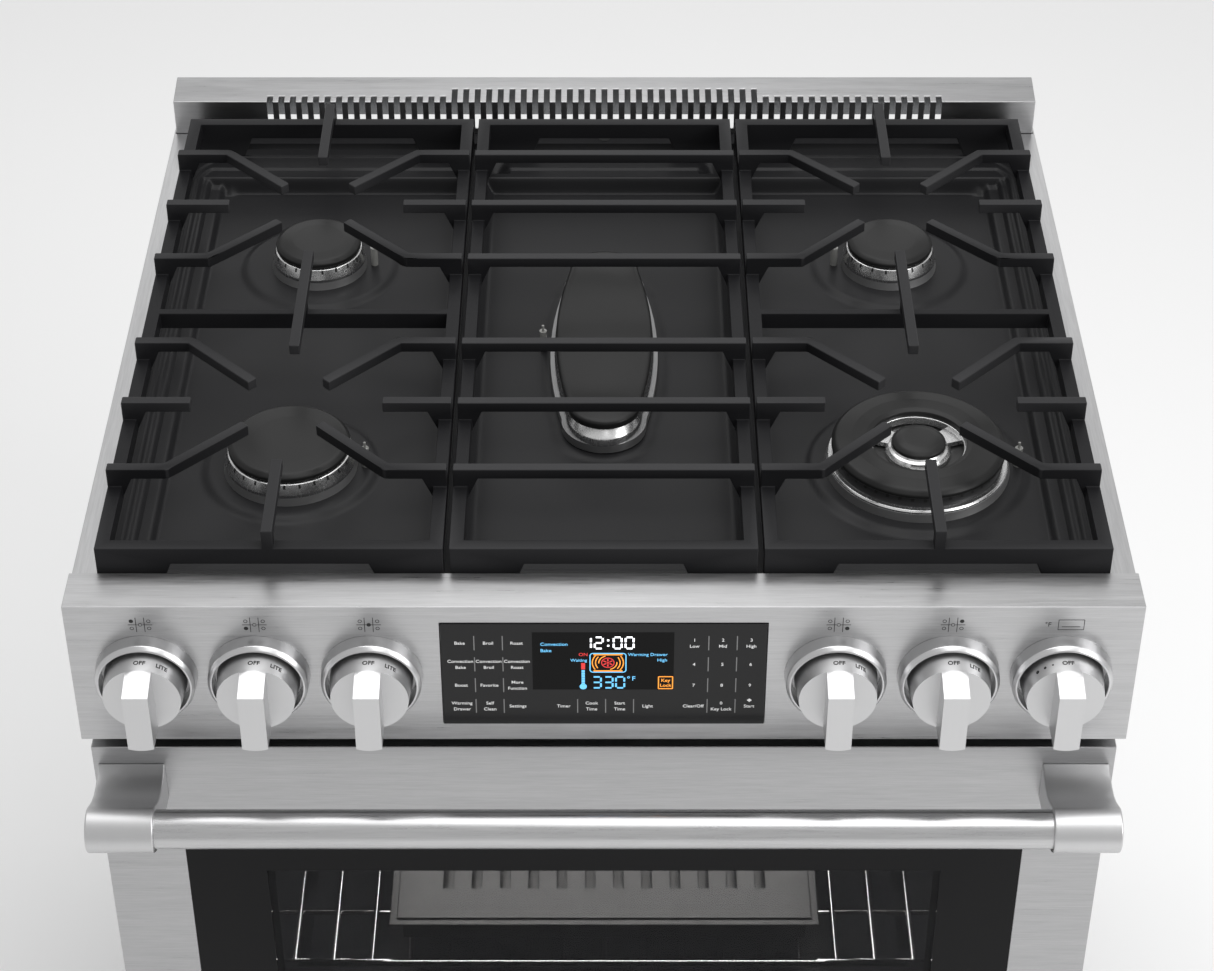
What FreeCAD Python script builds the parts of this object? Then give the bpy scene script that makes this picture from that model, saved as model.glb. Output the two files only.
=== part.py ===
import FreeCAD, Part
import Sketcher
import os
import re

# Freestanding gas range, millimetres. X runs to the right, the front faces -Y, Z is up.
# The origin is on the floor, at the centre of the overall footprint.

V = FreeCAD.Vector
doc = FreeCAD.newDocument("gas_range")

sizes = {
    # overall shell
    "body_width": 759.5, "cook_height": 927.5, "trim_drop": 13.5, "trim_width": 21,
    "guard_front": 659.5, "guard_depth": 34, "guard_rise": 18.5, "guard_slope": 5.5, "steel": 1.5,
    "wrap_front": 58, "back_recess": 26, "back_bottom": 62, "leg_clear": 22, "rail_height": 40,
    "rail_width": 30, "rail_wall": 2, "kick_height": 74, "kick_setback": 60, "foot_radius": 19,
    "stud_radius": 5,
    "foot_thick": 9, "leg_inset": 50, "stud_clear": 0.3,
    # control panel
    "panel_height": 125.5, "panel_depth": 37, "display_width": 230, "display_height": 94.5,
    "display_drop": 15, "display_thick": 5, "display_proud": 1.2, "fit_gap": 0.3,
    "knob_first": 164.5, "knob_pitch": 80, "knob_drop": 62.5, "bezel_radius": 36.3, "bezel_rim": 35,
    "bezel_out": 13.5, "bezel_bore": 32, "skirt_radius": 29.5, "disc_radius": 27.5, "skirt_out": 27,
    "grip_out": 50, "grip_width": 18.2, "grip_top": 21.6, "knob_gap": 4.2, "stem_radius": 4,
    "plug_radius": 7, "run_gap": 0.05, "stem_hole": 9, "stem_depth": 30, "push_travel": 3,
    "plug_front": 14, "plug_length": 20, "valve_front": 12, "valve_width": 26, "valve_height": 30,
    "manifold_back": 76, "manifold_radius": 12.5, "tube_radius": 4, "tube_rise": 6, "pipe_inset": 15.25,
    # door
    "door_base": 280, "door_front": 7, "door_thick": 44, "door_gap": 14.5, "stile": 59.5, "glass_drop": 84,
    "glass_foot": 65, "glass_thick": 4, "inner_glass_width": 540, "inner_glass_raise": 50,
    "inner_glass_short": 58.5, "sight_width": 510, "sight_rim": 26, "handle_radius": 14.25, "handle_wall": 2,
    "handle_out": 58, "handle_drop": 26, "barrel_radius": 17,
    "bracket_width": 49, "bracket_above": 10, "bracket_below": 25,
    "hinge_back": 29, "hinge_up": 22, "arm_thick": 6, "arm_half": 9, "pin_radius": 4,
    "cheek_gap": 0.5, "cheek_thick": 3, "arm_reach": 84, "arm_riser": 48, "pocket_gap": 1,
    # oven
    "oven_width": 610, "oven_lift": 60, "oven_short": 102.5, "oven_depth": 480, "wool": 28.5,
    "frame_thick": 3, "apron_set": 6, "frame_under": 18, "frame_over": 45, "gasket_gap": 0.4,
    "gasket_width": 14,
    "fan_radius": 78, "fan_depth": 16, "shaft_radius": 4, "fan_off_wall": 10, "fan_drop": 180,
    "cover_radius": 105, "cover_depth": 34, "motor_radius": 42, "motor_length": 46,
    "rack_lift": 131.5, "rack_front": 85, "rack_short": 65, "rack_half": 292, "rack_wire": 2.4,
    "rack_rail": 3.6, "rack_pitch": 31.7, "rack_second": 61, "guide_wire": 3, "guide_pitch": 66, "broil_half": 120,
    "pan_width": 352, "pan_depth": 300, "pan_height": 26, "pan_front": 100, "pan_wall": 1.6,
    "pan_slot": 8, "pan_slot_pitch": 23.5,
    # drawer
    "drawer_drop": 22, "drawer_height": 158, "drawer_skin": 20, "box_half": 340, "box_depth": 530,
    "box_low": 14, "box_tall": 120, "slide_thick": 6, "slide_gap": 1, "slide_height": 34,
    # cooktop
    "deck_depth": 16.5, "deck_sheet": 2.5, "deck_rim": 9, "basin_slope": 9, "deck_rear": 60,
    "burner_x": 236.8, "burner_rear": 471.6, "burner_front": 197, "oval_y": 336, "oval_width": 76,
    "oval_length": 238, "oval_bulge": 400, "oval_end": 28, "small_cap": 35, "mid_cap": 46,
    "big_cap": 65.5, "big_hole": 36,
    "core_cap": 20.5, "head_extra": 3.2, "base_extra": 4.6, "base_height": 7, "head_height": 11.5,
    "cap_height": 7.5, "holder_radius": 15, "holder_depth": 19,
    "plateau": 2.5, "plateau_radius": 66.5, "big_plateau": 85.5, "plateau_slope": 6, "port_width": 1.6,
    "port_height": 5, "igniter_radius": 3, "igniter_height": 17,
    # grates
    "grate_front": 42, "grate_back": 631.5, "grate_inner": 113.5,
    "centre_half": 109, "rail_wide": 10, "rail_tall": 14, "frame_drop": 15.5, "grate_rise": 33.5,
    "finger": 8, "finger_deep": 8.5, "kink": 79.7, "tip_x": 27.5, "tip_y": 30.5, "side_finger": 51.5,
    "line_tip": 71, "rib_y": 337, "foot_long": 46, "foot_slope": 7, "gusset": 8,
    "bar_one": 550.6, "bar_two": 472.4, "bar_three": 392.6, "bar_four": 275.4, "bar_five": 198.1,
    "bar_six": 117,
    # vents
    "slot_pitch": 10.12, "slot_width": 5, "slot_drop": 8, "slot_short": 8, "slot_long": 18,
    # services
    "inlet_radius": 10.65, "inlet_x": 300, "inlet_z": 150, "inlet_stub": 21,
    "cord_hole": 11, "cord_x": 250, "cord_z": 150,
}

# places worked out from the sizes above, written as sheet expressions
places = {
    "face_width": "(body_width - 3.5)",
    "door_height": "(cook_height - panel_height - door_gap - door_base)",
    "glass_height": "(door_height - glass_drop - glass_foot)",
    "inner_glass_height": "(glass_height - inner_glass_short)",
    "sight_height": "(inner_glass_height - sight_rim)",
    "oven_floor": "(door_base + oven_lift)",
    "oven_height": "(door_height - oven_short)",
    "frame_bottom": "(oven_floor - frame_under)",
    "frame_top": "(oven_floor + oven_height + frame_over)",
    "fan_z": "(oven_floor + oven_height - fan_drop)",
    "rack_z": "(oven_floor + rack_lift)",
    "rack_depth": "(oven_depth - rack_short)",
    "pipe_lane": "(inner_half - pipe_inset)",
    "door_width": "(face_width - 8)",
    "bracket_edge": "(door_width / 2 - 3.5)",
    "hinge_x": "(door_width / 2 - 29)",
    "face": "((handle_out - door_front + barrel_radius - guard_front - guard_depth) / 2)",
    "rear": "(face + guard_front + guard_depth)",
    "trim_top": "(cook_height - trim_drop)",
    "panel_bottom": "(cook_height - panel_height)",
    "door_top": "(panel_bottom - door_gap)",
    "door_bottom": "(door_top - door_height)",
    "door_face": "(face + door_front)",
    "door_back": "(door_face + door_thick)",
    "glass_top": "(door_top - glass_drop)",
    "glass_half": "(door_width / 2 - stile)",
    "bar_z": "(door_top - handle_drop)",
    "bar_y": "(door_face - handle_out)",
    "pivot_y": "(door_face + hinge_back)",
    "pivot_z": "(door_bottom + hinge_up)",
    "frame_y": "(face + wrap_front)",
    "oven_y": "(frame_y + frame_thick)",
    "oven_half": "(oven_width / 2)",
    "oven_top": "(oven_floor + oven_height)",
    "oven_back": "(oven_y + oven_depth)",
    "wool_back": "(oven_back + steel + wool)",
    "knob_z": "(cook_height - knob_drop)",
    "deck_low": "(trim_top - deck_depth - deck_sheet)",
    "deck_floor": "(trim_top - deck_depth)",
    "deck_half": "(body_width / 2 - trim_width)",
    "grate_outer": "(deck_half + 0.55)",
    "seat_z": "(deck_floor + plateau)",
    "head_z": "(seat_z + base_height)",
    "cap_z": "(head_z + head_height)",
    "grate_top": "(cook_height + grate_rise)",
    "rail_top": "(grate_top - frame_drop)",
    "rail_low": "(rail_top - rail_tall)",
    "finger_lift": "(frame_drop - finger_deep)",
    "drawer_top": "(door_bottom - drawer_drop)",
    "drawer_low": "(drawer_top - drawer_height)",
    "drawer_back": "(door_face + drawer_skin)",
    "back_y": "(rear - back_recess)",
    "tube_z": "(knob_z + valve_height / 2 + tube_rise)",
    "manifold_y": "(face + manifold_back)",
    "rack_y": "(face + rack_front)",
    "base_low": "(leg_clear)",
    "base_top": "(leg_clear + rail_height)",
    "inlet_end": "(back_y + inlet_stub)",
    "kick_y": "(face + kick_setback)",
    "inner_half": "(body_width / 2 - steel)",
}

sheet = doc.addObject("Spreadsheet::Sheet", "dims")
for row, (alias, value) in enumerate(sizes.items(), start=1):
    sheet.set(f"A{row}", alias)
    sheet.set(f"B{row}", str(value))
    sheet.setAlias(f"B{row}", alias)
doc.recompute()

word = re.compile(r"[A-Za-z_][A-Za-z_0-9]*")


def bound(text):
    """A sheet expression: place names are opened up, and size names get the sheet's name."""
    text = str(text)
    while any(name in places for name in word.findall(text)):
        text = word.sub(lambda m: places.get(m.group(), m.group()), text)
    return word.sub(lambda m: f"dims.{m.group()}" if m.group() in sizes else m.group(), text)


def number(text):
    """The value of a size expression, for the few shapes that are built by functions."""
    opened = bound(text).replace("dims.", "")
    value = FreeCAD.Units.Quantity(word.sub(lambda m: repr(float(sizes[m.group()])), opened))
    return value.Value


def bind(item, **expressions):
    for prop, text in expressions.items():
        item.setExpression(prop.replace("__", "."), bound(text))
    return item


def placed(item, x, y, z):
    return bind(item, Placement__Base__x=x, Placement__Base__y=y, Placement__Base__z=z)


def box(x0, x1, y0, y1, z0, z1):
    item = doc.addObject("Part::Box", "box")
    bind(item, Length=f"({x1}) - ({x0})", Width=f"({y1}) - ({y0})", Height=f"({z1}) - ({z0})")
    return placed(item, x0, y0, z0)


turns = {
    "+z": FreeCAD.Rotation(),
    "+x": FreeCAD.Rotation(V(0, 1, 0), 90),
    "+y": FreeCAD.Rotation(V(1, 0, 0), -90),
    "-y": FreeCAD.Rotation(V(1, 0, 0), 90),
}


def rod(x, y, z, radius, length, axis="+z"):
    item = doc.addObject("Part::Cylinder", "rod")
    item.Placement = FreeCAD.Placement(V(), turns[axis])
    bind(item, Radius=radius, Height=length)
    return placed(item, x, y, z)


def cone(x, y, z, low_radius, high_radius, length, axis="+z"):
    item = doc.addObject("Part::Cone", "cone")
    item.Placement = FreeCAD.Placement(V(), turns[axis])
    bind(item, Radius1=low_radius, Radius2=high_radius, Height=length)
    return placed(item, x, y, z)


def ball(x, y, z, radius):
    item = doc.addObject("Part::Sphere", "ball")
    bind(item, Radius=radius)
    return placed(item, x, y, z)


def tilted_box(x, y, z, length, width, height, degrees):
    """A bar that starts at x, y, has its width across its own centre line and turns about Z."""
    item = doc.addObject("Part::Box", "bar")
    bind(item, Length=length, Width=width, Height=height)
    item.Placement = FreeCAD.Placement(V(), FreeCAD.Rotation(V(0, 0, 1), degrees))
    side = f"({width}) / 2"
    return placed(item, f"({x}) + {side} * sin({degrees} deg)", f"({y}) - {side} * cos({degrees} deg)", z)


def basin(x0, x1, y0, y1, z0, z1, slope):
    """A pocket cutter whose walls lean outwards by slope from its floor z0 to its mouth z1."""
    item = doc.addObject("Part::Wedge", "basin")
    wide, deep, tall = f"(({x1}) - ({x0}))", f"(({y1}) - ({y0}))", f"(({z1}) - ({z0}))"
    bind(item, Xmin="0", Ymin="0", Zmin="0", X2min=f"0 - ({slope})", Z2min=f"0 - ({slope})")
    bind(item, Xmax=wide, Ymax=tall, Zmax=deep, X2max=f"{wide} + ({slope})", Z2max=f"{deep} + ({slope})")
    item.Placement = FreeCAD.Placement(V(), turns["-y"])
    return placed(item, x0, y1, z0)


def fuse(*items):
    if len(items) == 1:
        return items[0]
    item = doc.addObject("Part::MultiFuse", "fuse")
    item.Shapes = list(items)
    item.Refine = True
    return item


def group(*items):
    item = doc.addObject("Part::Compound", "group")
    item.Links = list(items)
    return item


def cut(base, *tools):
    item = doc.addObject("Part::Cut", "cut")
    item.Base = base
    item.Tool = tools[0] if len(tools) == 1 else group(*tools)
    return item


def common(one, other):
    item = doc.addObject("Part::Common", "common")
    item.Base = one
    item.Tool = other
    return item


def padded_outline(plane, points, length, x=0, y=0, z=0, midplane=True):
    """A PartDesign body: a closed outline on XY, XZ or YZ, its corners bound to the sheet, and a pad."""
    body = doc.addObject("PartDesign::Body", "body")
    sketch = body.newObject("Sketcher::SketchObject", "outline")
    origin_plane = next(f for f in body.Origin.OriginFeatures if f.Role == f"{plane}_Plane")
    sketch.AttachmentSupport = [(origin_plane, "")]
    sketch.MapMode = "FlatFace"
    corners = [V(number(u), number(v), 0) for u, v in points]
    count = len(corners)
    for i in range(count):
        sketch.addGeometry(Part.LineSegment(corners[i], corners[(i + 1) % count]), False)
    for i in range(count):
        sketch.addConstraint(Sketcher.Constraint("Coincident", i, 2, (i + 1) % count, 1))
    for i, (u, v) in enumerate(points):
        for kind, text, value in (("DistanceX", u, corners[i].x), ("DistanceY", v, corners[i].y)):
            index = sketch.addConstraint(Sketcher.Constraint(kind, -1, 1, i, 1, value))
            sketch.setExpression(f"Constraints[{index}]", bound(text))
    pad = body.newObject("PartDesign::Pad", "pad")
    pad.Profile = sketch
    pad.Midplane = midplane
    bind(pad, Length=length)
    sketch.Visibility = False
    return placed(body, x, y, z)


nodes = []


def node(label, item):
    item.Label = label
    nodes.append(item)
    return item


# ---------------------------------------------------------------- shell

def side_panel(side):
    """One sheet with a flange on top, which is the bright trim beside the grates, and one at the back."""
    out, skin = "body_width / 2", "inner_half"
    pieces = [
        box(*ends(side, skin, out), "frame_y", "rear", "leg_clear", "panel_bottom"),
        box(*ends(side, skin, out), "face + panel_depth", "rear", "panel_bottom", "trim_top"),
        box(*ends(side, "deck_half", out), "face + panel_depth", "rear - guard_depth",
            "trim_top - steel", "trim_top"),
        box(*ends(side, "inner_half - wool / 2", out), "back_y - steel", "back_y",
            "back_bottom", "trim_top - steel"),
    ]
    return fuse(*pieces)


def ends(side, near, far):
    """The low and high X of a stretch from near to far on the right, or its mirror on the left."""
    if side > 0:
        return f"{near}", f"{far}"
    return f"0 - ({far})", f"0 - ({near})"


def at(side, x):
    return f"{side} * ({x})"


node("side_panels", group(side_panel(-1), side_panel(1)))

back = box("0 - inner_half", "inner_half", "back_y", "back_y + steel", "back_bottom", "trim_top - steel")
gas_hole = rod("inlet_x", "back_y - steel", "inlet_z", "inlet_radius", "3 * steel", "+y")
cord_bore = rod("0 - cord_x", "back_y - steel", "cord_z", "cord_hole", "3 * steel", "+y")
node("back_panel", cut(back, gas_hole, cord_bore))


def base_rail(side):
    return box(*ends(side, "inner_half - rail_width", "inner_half"), "kick_y + rail_width",
               "back_y - rail_width", "base_low", "base_top")


foot_y = ["kick_y + leg_inset", "back_y - leg_inset"]
foot_x = "(inner_half - foot_radius)"
stud_holes = [
    rod(at(side, foot_x), y, "base_low - 1", "stud_radius + stud_clear", "rail_height + 2")
    for side in (-1, 1) for y in foot_y
]
base = fuse(
    base_rail(-1), base_rail(1),
    box("0 - inner_half", "inner_half", "kick_y + steel", "kick_y + rail_width", "base_low", "base_top"),
    box("0 - inner_half", "inner_half", "back_y - rail_width", "back_y", "base_low", "base_top"),
    box("0 - inner_half", "inner_half", "kick_y", "kick_y + steel", "base_low", "base_low + kick_height"),
)
rail_hollows = [
    box(*ends(side, "inner_half - rail_width - 1", "inner_half - rail_wall"), "kick_y + rail_wall + steel",
        "back_y - rail_wall", "base_low + rail_wall", "base_top - rail_wall")
    for side in (-1, 1)
]
rail_hollows.append(box("0 - inner_half + rail_width - 2", "inner_half - rail_width + 2",
                        "kick_y + steel + rail_wall", "kick_y + rail_width + 1",
                        "base_low + rail_wall", "base_top - rail_wall"))
rail_hollows.append(box("0 - inner_half + rail_width - 2", "inner_half - rail_width + 2",
                        "back_y - rail_width - 1", "back_y - rail_wall",
                        "base_low + rail_wall", "base_top - rail_wall"))
node("base_frame", cut(base, *stud_holes, *rail_hollows))


def leveling_leg(x, y):
    foot = cone(x, y, "0", "foot_radius", "foot_radius * 0.8", "foot_thick")
    nut = rod(x, y, "foot_thick", "foot_radius * 0.55", "base_low - foot_thick")
    return fuse(foot, nut, rod(x, y, "base_low", "stud_radius", "rail_height * 0.8"))


node("leveling_legs", group(*[leveling_leg(at(side, foot_x), y) for side in (-1, 1) for y in foot_y]))

plate = box("0 - inner_half", "inner_half", "frame_y", "oven_y", "frame_bottom", "frame_top")
mouth = box("0 - oven_half", "oven_half", "frame_y - 1", "oven_y + 1", "oven_floor", "oven_top")
apron_half = "(hinge_x - arm_thick - 2)"
apron = fuse(
    box(f"0 - {apron_half}", apron_half, "oven_y", "oven_y + apron_set", "frame_bottom", "frame_bottom + 8"),
    box(f"0 - {apron_half}", apron_half, "oven_y + apron_set - steel", "oven_y + apron_set",
        "drawer_top + 4", "frame_bottom + 8"),
)
node("front_frame", fuse(cut(plate, mouth), apron))

# ---------------------------------------------------------------- oven

lamp_x = "(oven_half - 70)"
lamp_z = "(oven_top - 70)"
shaft_bore = rod("0", "oven_back - 1", "fan_z", "shaft_radius + 2", "wool + steel + 3", "+y")
lamp_hole = rod(f"0 - {lamp_x}", "oven_back - 1", lamp_z, "20", "steel + 2", "+y")
shell = box("0 - oven_half - steel", "oven_half + steel", "oven_y", "oven_back + steel",
            "oven_floor - steel", "oven_top + steel")
hollow = box("0 - oven_half", "oven_half", "oven_y - 1", "oven_back", "oven_floor", "oven_top")
node("oven_liner", cut(shell, hollow, shaft_bore, lamp_hole))

wool_outer = box("0 - oven_half - steel - wool", "oven_half + steel + wool", "oven_y + apron_set",
                 "wool_back",
                 "oven_floor - steel - wool", "oven_top + steel + wool")
wool_inner = box("0 - oven_half - steel", "oven_half + steel", "oven_y - 1", "oven_back + steel",
                 "oven_floor - steel", "oven_top + steel")
lamp_well = rod(f"0 - {lamp_x}", "oven_back", lamp_z, "21", "20", "+y")
node("oven_insulation", cut(wool_outer, wool_inner, shaft_bore, lamp_well))

lamp = fuse(
    rod(f"0 - {lamp_x}", "oven_back - 14", lamp_z, "27", "14", "+y"),
    rod(f"0 - {lamp_x}", "oven_back", lamp_z, "19", "18", "+y"),
)
node("oven_lamp", lamp)

burner_y = "(oven_y + 40)"
bake = fuse(
    rod("0", burner_y, "oven_floor + 18", "15", "oven_depth - 100", "+y"),
    box("-26", "26", f"{burner_y} + 60", f"{burner_y} + 330", "oven_floor + 8", "oven_floor + 20"),
    box("-12", "12", f"{burner_y} + 300", f"{burner_y} + 312", "oven_floor", "oven_floor + 10"),
    box("-12", "12", f"{burner_y} + 40", f"{burner_y} + 52", "oven_floor", "oven_floor + 10"),
)
node("bake_burner", bake)

plate_z = "(oven_floor + 40)"
floor_plate = fuse(
    box("0 - oven_half + 1", "oven_half - 1", "oven_y + 8", "oven_back - 12", plate_z, f"{plate_z} + steel"),
    box("0 - oven_half + 1", "0 - oven_half + 13", "oven_y + 8", "oven_back - 12", "oven_floor", plate_z),
    box("oven_half - 13", "oven_half - 1", "oven_y + 8", "oven_back - 12", "oven_floor", plate_z),
)
heat_slots = [
    box(*ends(side, "oven_half - 50", "oven_half - 38"), f"oven_y + 50 + {i} * 70",
        f"oven_y + 100 + {i} * 70", f"{plate_z} - 1", f"{plate_z} + steel + 1")
    for side in (-1, 1) for i in range(6)
]
node("oven_bottom_plate", cut(floor_plate, *heat_slots))

broil_low, broil_high = "(oven_top - 34)", "(oven_top - 14)"
broil_box = fuse(
    box("0 - broil_half", "broil_half", "oven_y + 60", "oven_y + 360", broil_low, broil_high),
    box("-100", "-84", "oven_y + 80", "oven_y + 340", broil_high, "oven_top"),
    box("84", "100", "oven_y + 80", "oven_y + 340", broil_high, "oven_top"),
)
broil_hollow = box("0 - broil_half + steel", "broil_half - steel", "oven_y + 60 + steel",
                   "oven_y + 360 - steel", f"{broil_low} + steel", f"{broil_high} - steel")
flame_slots = [
    box("-104", "104", f"oven_y + 80 + {i} * 26", f"oven_y + 88 + {i} * 26", f"{broil_low} - 1",
        f"{broil_low} + 6")
    for i in range(11)
]
node("broil_burner", cut(broil_box, broil_hollow, *flame_slots))

guide_levels = [f"(rack_z - guide_wire - rack_rail - {i} * guide_pitch)" for i in (1, 0, -1, -2)]
guide_x = "(oven_half - 2 * guide_wire)"


def rack_guide(side):
    """Two posts on the oven wall carry the rails that the rack's edge wires slide on."""
    post_y = ["oven_y + 60", "oven_back - 60"]
    post_low, post_tall = "(rack_z - 1.3 * guide_pitch)", "(4.1 * guide_pitch)"
    posts = [rod(at(side, "oven_half - guide_wire"), y, post_low, "guide_wire", post_tall) for y in post_y]
    rails = [rod(at(side, guide_x), "oven_y + 12", level, "guide_wire", "oven_depth - 30", "+y")
             for level in guide_levels]
    return fuse(*posts, *rails)


node("rack_guides", group(rack_guide(-1), rack_guide(1)))

gasket_outer = box("0 - oven_half - 3 - gasket_width", "oven_half + 3 + gasket_width",
                   "door_back + gasket_gap", "frame_y", "oven_floor - 3 - gasket_width",
                   "oven_top + 3 + gasket_width")
gasket_inner = box("0 - oven_half - 3", "oven_half + 3", "door_back", "frame_y + 1", "oven_floor - 3",
                   "oven_top + 3")
node("door_gasket", cut(gasket_outer, gasket_inner))

cover = rod("0", "oven_back - cover_depth", "fan_z", "cover_radius", "cover_depth", "+y")
cover_hollow = rod("0", "oven_back - cover_depth + steel", "fan_z", "cover_radius - steel",
                   "cover_depth", "+y")
cover_slots = []
for turn in range(12):
    slot = doc.addObject("Part::Box", "slot")
    slot.Placement = FreeCAD.Placement(V(), FreeCAD.Rotation(V(0, 1, 0), turn * 30))
    bind(slot, Length="46", Width="steel + 2", Height="9")
    reach = "36"
    placed(slot, f"{reach} * cos({turn * 30} deg)", "oven_back - cover_depth - 1",
           f"fan_z - {reach} * sin({turn * 30} deg)")
    cover_slots.append(slot)
node("fan_cover", cut(cover, cover_hollow, *cover_slots))

blades = []
for turn in range(8):
    blade = doc.addObject("Part::Box", "blade")
    blade.Placement = FreeCAD.Placement(V(), FreeCAD.Rotation(V(0, 1, 0), turn * 45))
    bind(blade, Length="fan_radius - 14", Width="fan_depth", Height="1.6")
    placed(blade, f"14 * cos({turn * 45} deg)", "oven_back - fan_off_wall - fan_depth",
           f"fan_z - 14 * sin({turn * 45} deg)")
    blades.append(blade)
fan_disc = rod("0", "oven_back - fan_off_wall", "fan_z", "fan_radius - 6", "1.6", "+y")
fan_hub = rod("0", "oven_back - fan_off_wall - fan_depth", "fan_z", "15", "fan_depth", "+y")
fan_shaft = rod("0", "oven_back - fan_off_wall", "fan_z", "shaft_radius",
                "fan_off_wall + steel + wool + motor_length / 2", "+y")
node("convection_fan", fuse(fan_hub, fan_disc, fan_shaft, *blades))

motor = fuse(
    rod("0", "wool_back", "fan_z", "motor_radius", "motor_length", "+y"),
    box("-62", "62", "wool_back", "wool_back + 3", "fan_z - 14", "fan_z + 14"),
)
node("fan_motor", cut(motor, rod("0", "wool_back - 1", "fan_z", "shaft_radius + run_gap",
                                 "motor_length / 2 + 2", "+y")))

# ---------------------------------------------------------------- cooktop

deck = box("0 - deck_half", "deck_half", "face + panel_depth", "rear - guard_depth", "deck_low", "trim_top")
split = "((grate_inner + centre_half) / 2)"
basins = [
    basin("0 - deck_half + deck_rim + basin_slope", f"0 - {split} - deck_rim / 2 - basin_slope",
          "face + grate_front + deck_rim + basin_slope", "face + grate_back - deck_rear + basin_slope",
          "deck_floor", "trim_top + 0.01", "basin_slope"),
    basin(f"0 - {split} + deck_rim / 2 + basin_slope", f"{split} - deck_rim / 2 - basin_slope",
          "face + grate_front + deck_rim + basin_slope", "face + grate_back - deck_rear + basin_slope",
          "deck_floor", "trim_top + 0.01", "basin_slope"),
    basin(f"{split} + deck_rim / 2 + basin_slope", "deck_half - deck_rim - basin_slope",
          "face + grate_front + deck_rim + basin_slope", "face + grate_back - deck_rear + basin_slope",
          "deck_floor", "trim_top + 0.01", "basin_slope"),
]
burners = [
    # x, y behind the face, cap radius
    ("0 - burner_x", "burner_rear", "small_cap"),
    ("burner_x", "burner_rear", "small_cap"),
    ("0 - burner_x", "burner_front", "mid_cap"),
    ("burner_x", "burner_front", "big_cap"),
]


def oval(z, height, grow="0"):
    """The long burner's outline, from z upwards: two bulged sides between round ends, let out by grow."""
    half, end, bulge = f"(oval_width / 2 + {grow})", f"(oval_end + {grow})", f"(oval_bulge + {grow})"
    reach = f"(oval_length / 2 + {grow} - {end})"
    sides = [rod(f"{way} * ({bulge} - {half})", "face + oval_y", z, bulge, height) for way in (-1, 1)]
    middle = box(f"0 - {half} - 1", f"{half} + 1", f"face + oval_y - {reach}", f"face + oval_y + {reach}",
                 z, f"{z} + {height}")
    end_rods = [rod("0", f"face + oval_y + {way} * {reach}", z, end, height) for way in (-1, 1)]
    return fuse(common(common(*sides), middle), *end_rods)


raised = []
for x, y, r in burners:
    outer = "big_plateau" if r == "big_cap" else "plateau_radius"
    raised.append(cone(x, f"face + {y}", "deck_floor", outer, f"{outer} - plateau_slope", "plateau"))
raised.append(oval("deck_floor", "plateau", "14"))
holder_spots = [(x, f"face + {y}") for x, y, r in burners] + [("0", "face + oval_y")]
holes = [rod(x, y, "deck_low - 1", "holder_radius - 2 + fit_gap", "deck_sheet + plateau + 2")
         for x, y in holder_spots]
screw_wells = [rod(x, "face + grate_back - deck_rear / 2", "trim_top - 3", "4.5", "4")
               for x in ("0 - deck_half + 40", "0", "deck_half - 40")]
rear_hollow = box("0 - deck_half + deck_rim", "deck_half - deck_rim",
                  "face + grate_back - deck_rear + 2 * basin_slope", "rear - guard_depth - deck_sheet",
                  "deck_low - 1", "trim_top - 3 - deck_sheet")
node("cooktop_deck", cut(fuse(cut(deck, *basins), *raised), *holes, *screw_wells, rear_hollow))

bases = []
for x, y, r in burners:
    bases.append(fuse(
        cone(x, f"face + {y}", "seat_z", f"{r} + base_extra", f"{r} + head_extra", "base_height"),
        rod(x, f"face + {y}", "deck_low", "holder_radius - 2", "seat_z - deck_low"),
        rod(x, f"face + {y}", "deck_low - holder_depth", "holder_radius", "holder_depth"),
    ))
bases.append(fuse(
    oval("seat_z", "base_height", "base_extra"),
    rod("0", "face + oval_y", "deck_low", "holder_radius - 2", "seat_z - deck_low"),
    rod("0", "face + oval_y", "deck_low - holder_depth", "holder_radius", "holder_depth"),
))
node("burner_bases", group(*bases))


def port_cutters(x, y, radius, count):
    cutters = []
    for i in range(count):
        degrees = i * 360 / count
        cutter = doc.addObject("Part::Box", "port")
        cutter.Placement = FreeCAD.Placement(V(), FreeCAD.Rotation(V(0, 0, 1), degrees))
        bind(cutter, Length="10", Width="port_width", Height="port_height")
        reach = f"(({radius}) - 5)"
        placed(cutter, f"{x} + {reach} * cos({degrees} deg)", f"{y} + {reach} * sin({degrees} deg)",
               "head_z + head_height - port_height")
        cutters.append(cutter)
    return cutters


def burner_head(x, y, radius, count, bore=None):
    head = fuse(
        cone(x, y, "head_z", f"({radius}) - 1.5", radius, "3"),
        rod(x, y, "head_z + 3", radius, "head_height - 3"),
    )
    cutters = port_cutters(x, y, radius, count)
    if bore:
        cutters.append(rod(x, y, "head_z - 1", bore, "head_height + 2"))
    return cut(head, *cutters)


def burner_cap(x, y, radius, z="cap_z", height="cap_height"):
    return fuse(
        cone(x, y, z, f"({radius}) - 1.5", radius, "1.5"),
        rod(x, y, f"{z} + 1.5", radius, f"{height} - 4.5"),
        cone(x, y, f"{z} + {height} - 3", radius, f"({radius}) - 3", "3"),
    )


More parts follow.
